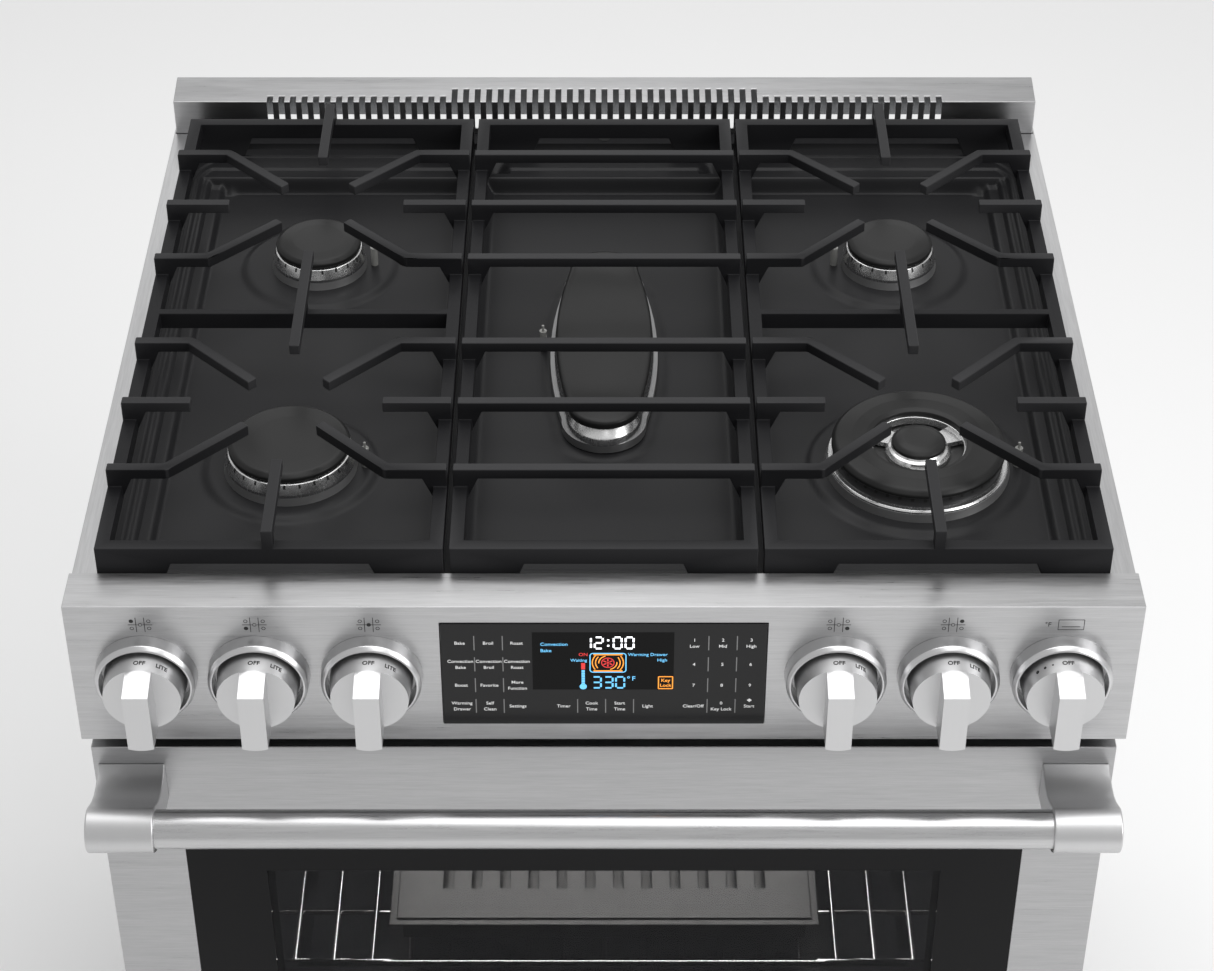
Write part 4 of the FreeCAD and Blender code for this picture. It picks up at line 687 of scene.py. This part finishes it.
def longOutline(side, front, rear, steps=20):
    # the long burner's outline in mm, let out by the given amounts at its sides, front and rear
    points = []
    for end, grow in ((-1, front), (1, rear)):
        for step in range(steps + 1):
            turn = math.pi * (step / steps - 0.5)
            radius = 28.0
            points.append(((radius + side) * math.sin(turn) * -end, end * (91 + (radius + grow) * math.cos(turn))))
        for step in range(1, steps):
            along = end * 91 * (1 - 2 * step / steps)
            points.append((-end * (38 - along * along / 800 + side), along))
    return points


def stacked(levels, x, y):
    # skins a stack of outlines, each with its height, and closes both ends
    count = len(levels[0][0])
    verts = [(mm(a) + x, mm(b) + y, z) for outline, z in levels for a, b in outline]
    faces = [tuple(range(count))[::-1], tuple(range(len(verts) - count, len(verts)))]
    for level in range(len(levels) - 1):
        for i in range(count):
            j = (i + 1) % count
            faces.append((level * count + i, level * count + j, (level + 1) * count + j, (level + 1) * count + i))
    return verts, faces


headLow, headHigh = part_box("centre_burner_head")
longCapLow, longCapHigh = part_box("centre_burner_cap")
longY = (longCapLow.y + longCapHigh.y) / 2
headLevels = [(longOutline(1.5, 5.0, 1.5), headLow.z), (longOutline(1.2, 5.0, 1.2), headLow.z + mm(5.5)),
              (longOutline(0.6, 4.2, 0.6), headLow.z + mm(6.5)), (longOutline(-1.5, -1.0, -1.5), headHigh.z)]
longHead = addMesh("longBurnerHead", *stacked(headLevels, 0.0, longY), "castHead", sharp=40, part="burner_aluminium")
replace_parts(longHead, "centre_burner_head")
capLevels = [(longOutline(-1.0, -1.0, -1.0), longCapLow.z), (longOutline(0, 0, 0), longCapLow.z + mm(0.8)),
             (longOutline(0, 0, 0), longCapHigh.z - mm(2.6)),
             (longOutline(-0.6, -0.6, -0.6), longCapHigh.z - mm(1.5)),
             (longOutline(-1.8, -1.8, -1.8), longCapHigh.z - mm(0.6)), (longOutline(-4, -4, -4), longCapHigh.z)]
longCap = addMesh("longBurnerCap", *stacked(capLevels, 0.0, longY), "capEnamel", sharp=60, part="burner_enamel")
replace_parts(longCap, "centre_burner_cap")

addMesh("bigBurnerWheel", *wheel(mm(236.8), faceY + mm(197), capZ + mm(1.5)), "castHead", sharp=40,
        part="burner_aluminium")
wellShape = moved(lathe([(0, 0), (mm(36), 0), (mm(36), mm(0.5)), (0, mm(0.5))], 64), mm(236.8), faceY + mm(197),
                  capZ - mm(6.5))
addMesh("bigBurnerWells", *wellShape, "blackPaint", part="burner_enamel")
print("burners built")


# ---- printed and lit marks

def textShape(text, capHeight, bold=0.0, align="CENTER", spacing=1.0):
    # a word as flat faces, centred on the origin's height
    curve = bpy.data.curves.new("word", "FONT")
    curve.body = text
    curve.size = capHeight / 0.70
    curve.align_x = align
    curve.offset = bold
    curve.space_character = spacing
    curve.resolution_u = 3
    carrier = bpy.data.objects.new("word", curve)
    bpy.context.scene.collection.objects.link(carrier)
    mesh = bpy.data.meshes.new_from_object(carrier.evaluated_get(bpy.context.evaluated_depsgraph_get()))
    shape = ([(v.co.x, v.co.y - capHeight / 2, 0.0) for v in mesh.vertices],
             [tuple(p.vertices) for p in mesh.polygons])
    bpy.data.objects.remove(carrier)
    bpy.data.meshes.remove(mesh)
    bpy.data.curves.remove(curve)
    return shape


def thick(shape, depth):
    # gives flat faces a little body, so the marks stand on their surface
    verts, faces = shape
    count = len(verts)
    edges = {}
    for face in faces:
        for a, b in zip(face, face[1:] + face[:1]):
            edges[(a, b)] = True
    sides = [(a, b, b + count, a + count) for a, b in edges if (b, a) not in edges]
    lifted = [(x, y, z + depth) for x, y, z in verts]
    return list(verts) + lifted, [tuple(i + count for i in face) for face in faces] + sides


def mark(shapes, place, depth=0.00012):
    # puts flat shapes, in mm, on the front at place = (x, z, y)
    verts, faces = joined(shapes)
    metres = [(mm(a), mm(b), mm(c)) for a, b, c in verts]
    return onPanel(thick((metres, faces), depth), *place)


def bar(x0, y0, x1, y1, width):
    # a straight flat line between two points
    along = Vector((x1 - x0, y1 - y0)).normalized() * width / 2
    across = Vector((-along.y, along.x))
    a, b = Vector((x0, y0)), Vector((x1, y1))
    corners = [a - across, b - across, b + across, a + across]
    return [(c.x, c.y, 0.0) for c in corners], [(0, 1, 2, 3)]


def arc(x, y, radius, start, end, width, steps=20):
    # part of a flat ring; angles in degrees
    verts, faces = [], []
    for step in range(steps + 1):
        turn = math.radians(start + (end - start) * step / steps)
        for edge in (radius - width / 2, radius + width / 2):
            verts.append((x + edge * math.cos(turn), y + edge * math.sin(turn), 0.0))
    for step in range(steps):
        i = 2 * step
        faces.append((i, i + 1, i + 3, i + 2))
    return verts, faces


def disc(x, y, radius, steps=24):
    verts = [(x + radius * math.cos(2 * math.pi * i / steps), y + radius * math.sin(2 * math.pi * i / steps), 0.0)
             for i in range(steps)]
    return verts, [tuple(range(steps))]


def word(text, x, y, height, bold=0.03, align="CENTER", spacing=1.0):
    return moved(textShape(text, height, bold, align, spacing), x, y, 0)


segments = {"0": "abcdef", "1": "bc", "2": "abged", "3": "abgcd"}


def digit(character, x, y, wide, tall, width):
    # a seven-segment digit; x, y is its lower left corner
    gap, mid = width * 0.55, y + tall / 2
    runs = {
        "a": (x + gap, y + tall, x + wide - gap, y + tall), "d": (x + gap, y, x + wide - gap, y),
        "g": (x + gap, mid, x + wide - gap, mid), "f": (x, mid + gap, x, y + tall - gap),
        "b": (x + wide, mid + gap, x + wide, y + tall - gap), "e": (x, y + gap, x, mid - gap),
        "c": (x + wide, y + gap, x + wide, mid - gap),
    }
    return [bar(*runs[name], width) for name in segments[character]]


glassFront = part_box("display_glass")[0].y
onDisplay = (0.0, panelTop, glassFront)
keyRows, keyPitch = (-32.2, -52.1, -71.9, -91.9), 20
leftKeys = [["Bake", "Broil", "Roast"], ["Convection\nBake", "Convection\nBroil", "Convection\nRoast"],
            ["Boost", "Favorite", "More\nFunction"], ["Warming\nDrawer", "Self\nClean", "Settings"]]
rightKeys = [["1\nLow", "2\nMid", "3\nHigh"], ["4", "5", "6"], ["7", "8", "9"], ["Clear/Off", "0\nKey Lock", "Start"]]
lowerKeys = ["Timer", "Cook\nTime", "Start\nTime", "Light"]


def keyWords(text, x, y):
    rows = text.split("\n")
    return [word(row, x, y + 2.85 * (len(rows) - 1 - 2 * i), 2.75, 0.02) for i, row in enumerate(rows)]


keyPrint, keyLines = [], []
for rowZ, left, right in zip(keyRows, leftKeys, rightKeys):
    for column in range(3):
        keyPrint += keyWords(left[column], -101.4 + column * keyPitch, rowZ)
        keyPrint += keyWords(right[column], 63.9 + column * keyPitch, rowZ)
        if column < 2:
            for x in (-91.3, 73.9):
                keyLines.append(bar(x + column * keyPitch, rowZ - 6.6, x + column * keyPitch, rowZ + 6.6, 0.75))
for column, text in enumerate(lowerKeys):
    keyPrint += keyWords(text, -28.7 + column * keyPitch, keyRows[3])
    if column < 3:
        keyLines.append(bar(-18.7 + column * keyPitch, keyRows[3] - 6.6, -18.7 + column * keyPitch,
                            keyRows[3] + 6.6, 0.75))
keyPrint.append(([(102.2, -86.3, 0), (104, -87.9, 0), (105.8, -86.3, 0), (104, -84.7, 0)], [(0, 1, 2, 3)]))
addMesh("keyWords", *mark(keyPrint, onDisplay), "printWhite", part="display_black")
addMesh("keyLines", *mark(keyLines, onDisplay), "linePale", part="display_black")

clock = digit("1", -14.6, -37.2, 5.6, 10.4, 1.35) + digit("2", -6.3, -37.2, 5.6, 10.4, 1.35)
clock += digit("0", 7.0, -37.2, 5.6, 10.4, 1.35) + digit("0", 15.4, -37.2, 5.6, 10.4, 1.35)
clock += [bar(2.4, -34.6, 3.9, -34.6, 1.5), bar(2.4, -29.6, 3.9, -29.6, 1.5)]
addMesh("clockDigits", *mark(clock, onDisplay), "litWhite", part="display_black")

blue = [piece for i, character in enumerate("330")
        for piece in digit(character, -7.9 + i * 8.3, -74.4, 5.9, 10.4, 1.35)]
blue += [arc(17.6, -64.4, 0.75, 0, 360, 0.5), word("F", 21.2, -65.4, 4.0, 0.03)]
blue += [word("Convection", -44.8, -33.2, 2.9, 0.02, "LEFT"), word("Bake", -44.8, -39.1, 2.9, 0.02, "LEFT")]
blue += [word("Waiting", -17.7, -48.2, 2.6, 0.02), word("Warming Drawer", 45.0, -42.8, 2.7, 0.02, "RIGHT"),
         word("High", 44.9, -48.0, 2.7, 0.02, "RIGHT")]
blue += [bar(-14.6, -57.6 - i * 2.35, -14.6, -59.6 - i * 2.35, 2.3) for i in range(6)] + [disc(-14.6, -73.2, 2.6)]
ovenL, ovenR, ovenB, ovenT, turn = -9.7, 15.7, -59.5, -41.8, 2.2
blue += [bar(ovenL + turn, ovenT, ovenR - turn, ovenT, 0.8), bar(ovenL + turn, ovenB, ovenR - turn, ovenB, 0.8),
         bar(ovenL, ovenB + turn, ovenL, ovenT - turn, 0.8), bar(ovenR, ovenB + turn, ovenR, ovenT - turn, 0.8)]
blue += [arc(ovenR - turn, ovenT - turn, turn, 0, 90, 0.8, 6), arc(ovenL + turn, ovenT - turn, turn, 90, 180, 0.8, 6),
         arc(ovenL + turn, ovenB + turn, turn, 180, 270, 0.8, 6),
         arc(ovenR - turn, ovenB + turn, turn, 270, 360, 0.8, 6)]
addMesh("blueSigns", *mark(blue, onDisplay), "litBlue", part="display_black")

fanX, fanZ = 2.9, -50.6
orange = [bar(ovenL + 2.4, ovenT - 1.2, ovenR - 2.4, ovenT - 1.2, 1.1),
          bar(ovenL + 2.4, ovenB + 1.2, ovenR - 2.4, ovenB + 1.2, 1.1)]
orange += [arc(fanX, fanZ, 6.4, 105, 185, 0.8), arc(fanX, fanZ, 6.4, 285, 365, 0.8)]
for radius in (8.7, 11.0):
    orange += [arc(fanX, fanZ, radius, 140, 215, 0.8), arc(fanX, fanZ, radius, -40, 35, 0.8)]
orange += [bar(38.9, -63.8, 48.9, -63.8, 0.8), bar(38.9, -75.2, 48.9, -75.2, 0.8), bar(38.9, -75.2, 38.9, -63.8, 0.8),
           bar(48.9, -75.2, 48.9, -63.8, 0.8), word("Key", 43.9, -67.2, 2.9, 0.05),
           word("Lock", 43.9, -71.9, 2.9, 0.05)]
addMesh("orangeSigns", *mark(orange, onDisplay), "litOrange", part="display_black")

red = [arc(fanX, fanZ, 4.4, 0, 360, 0.7, 32), disc(fanX, fanZ, 0.9, 12), word("ON", -14.5, -42.8, 2.9, 0.03)]
red += [bar(fanX + 1.4 * math.cos(t), fanZ + 1.4 * math.sin(t), fanX + 3.6 * math.cos(t), fanZ + 3.6 * math.sin(t),
            1.0)
        for t in [math.radians(30 + 60 * i) for i in range(6)]]
red.append(bar(-14.6, -50.9, -14.6, -56.8, 2.8))
addMesh("redSigns", *mark(red, onDisplay), "litRed", part="display_black")

# the lit part of the glass is a little deeper black than the rest
screenPane = mark([([(-50.5, -76.1, 0), (49.6, -76.1, 0), (49.6, -22.2, 0), (-50.5, -22.2, 0)], [(0, 1, 2, 3)])],
                  onDisplay, 0.00004)
addMesh("screenPane", *screenPane, "screenBlack", part="display_black")

burnerIcon = {"knob_left_rear": 0, "knob_left_front": 1, "knob_centre": 2, "knob_right_front": 4,
              "knob_right_rear": 3}
iconSpots = [(-6.1, 3.3), (-6.1, -3.3), (0, 0), (6.1, 3.3), (6.1, -3.3)]
icons = []
for name, lit in burnerIcon.items():
    x = knobPlace[name][0] * 1000
    parts = [bar(x - 2.95, -6.6, x - 2.95, 6.6, 0.5), bar(x + 2.95, -6.6, x + 2.95, 6.6, 0.5),
             bar(x - 8.6, 0, x - 1.7, 0, 0.5), bar(x + 1.7, 0, x + 8.6, 0, 0.5)]
    for index, (dx, dz) in enumerate(iconSpots):
        parts.append(disc(x + dx, dz, 1.6, 16) if index == lit else arc(x + dx, dz, 1.25, 0, 360, 0.45, 16))
    icons += parts
ovenX = knobPlace["knob_oven"][0] * 1000
low, left, right = -4.5, ovenX - 6.2, ovenX + 11.8
icons += [word("°F", ovenX - 13.5, 0.5, 3.8, 0.04), bar(left, 4.5, right, 4.5, 0.5), bar(left, low, right, low, 0.5),
          bar(left, low, left, 4.5, 0.5), bar(right, low, right, 4.5, 0.5),
          bar(left + 2.5, -1.8, right - 2.5, -1.8, 0.5)]
addMesh("burnerIcons", *mark(icons, (0.0, panelTop - mm(16.3), faceY), 0.00008), "printBlack", part="stainless")


def onSkirt(shape, name, turn, out):
    # wraps flat marks round the knob's skirt: turn is clockwise from the top, out is how far off the panel
    x0, z0 = knobPlace[name]
    verts, faces = thick(shape, 0.0)
    half = len(verts) // 2
    result = []
    for index, (u, v, _) in enumerate(verts):
        away = out - v
        radius = 29.5 - (away - 4.2) * 2.0 / 22.8 + (0.15 if index >= half else -0.1)
        angle = math.radians(turn) + u / 28.0
        result.append((x0 + mm(radius * math.sin(angle)), faceY - mm(away), z0 + mm(radius * math.cos(angle))))
    return result, faces


for name in knobNodes:
    marks = [onSkirt(textShape("OFF", 3.4, 0.12), name, 0, 19.6)]
    if name == "knob_oven":
        marks += [onSkirt(disc(0, 0, radius), name, turn, 19.6) for radius,
                  turn in ((0.7, -22), (1.0, -34), (1.35, -47))]
    else:
        marks.append(onSkirt(textShape("LITE", 3.4, 0.12), name, 33, 19.6))
    addMesh(name.replace("knob_", "marks").replace("_", ""), *joined(marks), "printBlack", body=name,
            part="knob_metal")
print("marks built")


# ---- door window

doorBack = glassHigh.y
windowX, windowLow, windowHigh = mm(255), mm(385), mm(659)
outline = [(-windowX, windowLow), (windowX, windowLow), (windowX, windowHigh), (-windowX, windowHigh)]


def frameShape(x0, x1, z0, z1, hole, yFront, yBack):
    # a flat pane with a rectangular hole, facing the front
    outer = [(x0, z0), (x1, z0), (x1, z1), (x0, z1)]
    verts = [(x, y, z) for y in (yFront, yBack) for x, z in outer + hole]
    faces = []
    for i in range(4):
        j = (i + 1) % 4
        faces += [(i, j, j + 4, i + 4), (i + 12, j + 12, j + 8, i + 8), (i, i + 8, j + 8, j),
                  (i + 4, j + 4, j + 12, i + 12)]
    return verts, faces


border = addMesh("doorGlassBorder", *frameShape(glassLow.x, glassHigh.x, glassLow.z, glassHigh.z, outline,
                                                glassLow.y, glassHigh.y),
                 "borderGlass", body="door", part="black_glass")
pane = addMesh("doorWindowPane", *slab(-windowX, windowX, glassLow.y, glassHigh.y, windowLow, windowHigh),
               "windowGlass",
               body="door", part="black_glass")
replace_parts(border, "door_glass_outer")
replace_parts(pane, "door_glass_outer")
screen = addMesh("doorDotScreen", *slab(-windowX - mm(3), windowX + mm(3), doorBack + mm(0.05), doorBack + mm(0.25),
                                        windowLow - mm(3),
                                        windowHigh + mm(3)), "dotScreen", body="door", part="black_glass")
print("window built")


# ---- handle

barMiddle = (barLow.y + barHigh.y) / 2
barZ = (barLow.z + barHigh.z) / 2
reach = doorLow.y - barMiddle


def bracketShape(side):
    # a scooped arm from the door out to a barrel that holds the tube's end
    top = [(0, 10), (8, 6.4), (18, 4.4), (28, 4.9), (37, 7.8), (44, 11.6)]
    barrel = [(58 + 17 * math.cos(math.radians(a)), 17 * math.sin(math.radians(a))) for a in range(112, -106, -6)]
    under = [(40, -19.0), (0, -25)]
    outline = top + barrel + under
    x0, x1 = (370.5 - 49, 370.5) if side > 0 else (-370.5, -370.5 + 49)
    profile = [(doorLow.y - mm(out), barZ + mm(up)) for out, up in outline]
    verts, faces = prism(profile[::-1], mm(x0), mm(x1))
    return [(c, a, b) for a, b, c in verts], faces


brackets = addMesh("handleBrackets", *joined([bracketShape(-1), bracketShape(1)]), "satinSteel", body="door",
                   sharp=40,
                   part="handle_steel")
bevelled(brackets, mm(1.4), 3, 40)
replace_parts(brackets, "door_handle_brackets")
print("handle built")


# ---- finish of the CAD pieces: material, edge radius in mm, bevel segments

finishes = {
    "side_panels": ("sidePanel", 0.8, 2), "back_panel": ("zincSteel", 0.4, 1), "base_frame": ("blackPaint", 0.8, 2),
    "leveling_legs": ("zincSteel", 0.6, 2), "front_frame": ("ovenEnamel", 0.6, 2),
    "oven_liner": ("ovenEnamel", 0.6, 2),
    "oven_insulation": ("glassWool", 0, 0), "oven_lamp": ("lampGlass", 0.8, 2), "bake_burner": ("zincSteel", 0.5, 2),
    "oven_bottom_plate": ("ovenEnamel", 0.5, 2), "broil_burner": ("zincSteel", 0.5, 2),
    "rack_guides": ("chromePlate", 0, 0),
    "door_gasket": ("gasketWeave", 2.0, 3), "fan_cover": ("ovenEnamel", 0.5, 2),
    "convection_fan": ("zincSteel", 0.2, 1),
    "fan_motor": ("zincSteel", 0.6, 2), "burner_bases": ("baseIron", 0.7, 2),
    "round_burner_heads": ("castHead", 0.3, 2),
        "igniter_electrodes": ("ceramicWhite", 0.4, 2), "backguard": ("guardSteel", 0.7, 2),
        "control_panel": ("panelSteel", 1.0, 3),
    "display_glass": ("displayGlass", 0.5, 2), "control_board": ("boardPlastic", 0.5, 1),
    "knob_bezels": ("bezelSteel", 0.9, 3),
    "valve_bodies": ("zincSteel", 0.6, 2), "gas_manifold": ("zincSteel", 0, 0),
    "burner_gas_tubes": ("zincSteel", 0, 0),
    "door_skin": ("doorSteel", 0.8, 2), "door_liner": ("ovenEnamel", 0.6, 2),
    "door_glass_inner": ("innerGlass", 0.4, 1),
    "door_insulation": ("glassWool", 0, 0), "door_handle_bar": ("handleSteel", 0, 0),
    "hinge_arms": ("zincSteel", 0.5, 2),
    "door_hinges": ("zincSteel", 0.5, 2), "drawer_front": ("doorSteel", 1.0, 3), "drawer_box": ("zincSteel", 0.4, 1),
    "drawer_slides": ("zincSteel", 0.4, 1), "oven_rack": ("chromePlate", 0, 0), "broiler_pan": ("panEnamel", 1.2, 3),
    "grate_left": ("castIron", 0.9, 2), "grate_centre": ("castIron", 0.9, 2), "grate_right": ("castIron", 0.9, 2),
}
finishes.update({name: ("knobMetal", 0.9, 3) for name in knobNodes})
finishes.update({name: ("brassTurned", 0.3, 1) for name in nodes if name.startswith("valve_plug")})

for name, (material, width, segmentCount) in finishes.items():
    part = nodes[name]
    part.data.materials.clear()
    part.data.materials.append(materials[material])
    part.data.polygons.foreach_set("use_smooth", [True] * len(part.data.polygons))
    weld = part.modifiers.new("weld", "WELD")
    weld.merge_threshold = 0.00002
    if width:
        flatten = part.modifiers.new("flatten", "DECIMATE")
        flatten.decimate_type = "DISSOLVE"
        flatten.angle_limit = math.radians(0.8)
        if name != "control_panel":
            part.modifiers.new("splitFaces", "TRIANGULATE").min_vertices = 5
        bevel = part.modifiers.new("edgeRounding", "BEVEL")
        bevel.width = mm(width)
        bevel.segments = segmentCount
        bevel.limit_method = "ANGLE"
        bevel.angle_limit = math.radians(28)
        bevel.use_clamp_overlap = not name.startswith("grate")
    shade = part.modifiers.new("flatShading", "WEIGHTED_NORMAL")
    shade.keep_sharp = False
print("cad pieces finished")


# ---- floor, light and camera

def areaLight(name, place, aim, size, power, colour=(1, 1, 1)):
    data = bpy.data.lights.new(name, "AREA")
    data.shape = "RECTANGLE"
    data.size, data.size_y = size
    data.energy = power
    data.color = colour
    lamp = bpy.data.objects.new(name, data)
    bpy.context.scene.collection.objects.link(lamp)
    lamp.location = place
    lamp.rotation_euler = (Vector(aim) - Vector(place)).to_track_quat("-Z", "Y").to_euler()
    return lamp


floorShape = slab(-9, 9, -9, 9, -0.05, 0)
floor = addMesh("floor", *floorShape, "paleFloor", body=None)

world = bpy.data.worlds.new("studio")
world.use_nodes = True
bpy.context.scene.world = world
backdrop = next(n for n in world.node_tree.nodes if n.type == "BACKGROUND")
backdrop.inputs["Color"].default_value = (1, 1, 1, 1)
backdrop.inputs["Strength"].default_value = 0.64

areaLight("overhead", (0.15, 0.1, 3.0), (0.0, 0.0, 0.9), (3.2, 2.0), 38)
areaLight("fromRight", (2.6, -1.6, 2.2), (0.0, -0.2, 0.7), (1.2, 1.8), 46)
areaLight("behind", (0.0, 2.6, 2.1), (0.0, 0.2, 0.9), (3.2, 0.8), 5)
areaLight("ovenGlow", (0.0, mm(-40), mm(700)), (0.0, mm(-60), mm(400)), (0.4, 0.3), 3.2, (1.0, 0.98, 0.95))

camera = bpy.data.cameras.new("camera")
camera.lens = 83.6
camera.sensor_width = 36.0
camera.sensor_fit = "HORIZONTAL"
camera.clip_start = 0.05
viewer = bpy.data.objects.new("camera", camera)
bpy.context.scene.collection.objects.link(viewer)
viewer.location = (0.0023, faceY - 1.494, panelTop + 1.276)
viewer.rotation_euler = (math.radians(51.97), 0, 0)
bpy.context.scene.camera = viewer
bpy.context.scene.view_settings.view_transform = "Standard"
print("stage built")
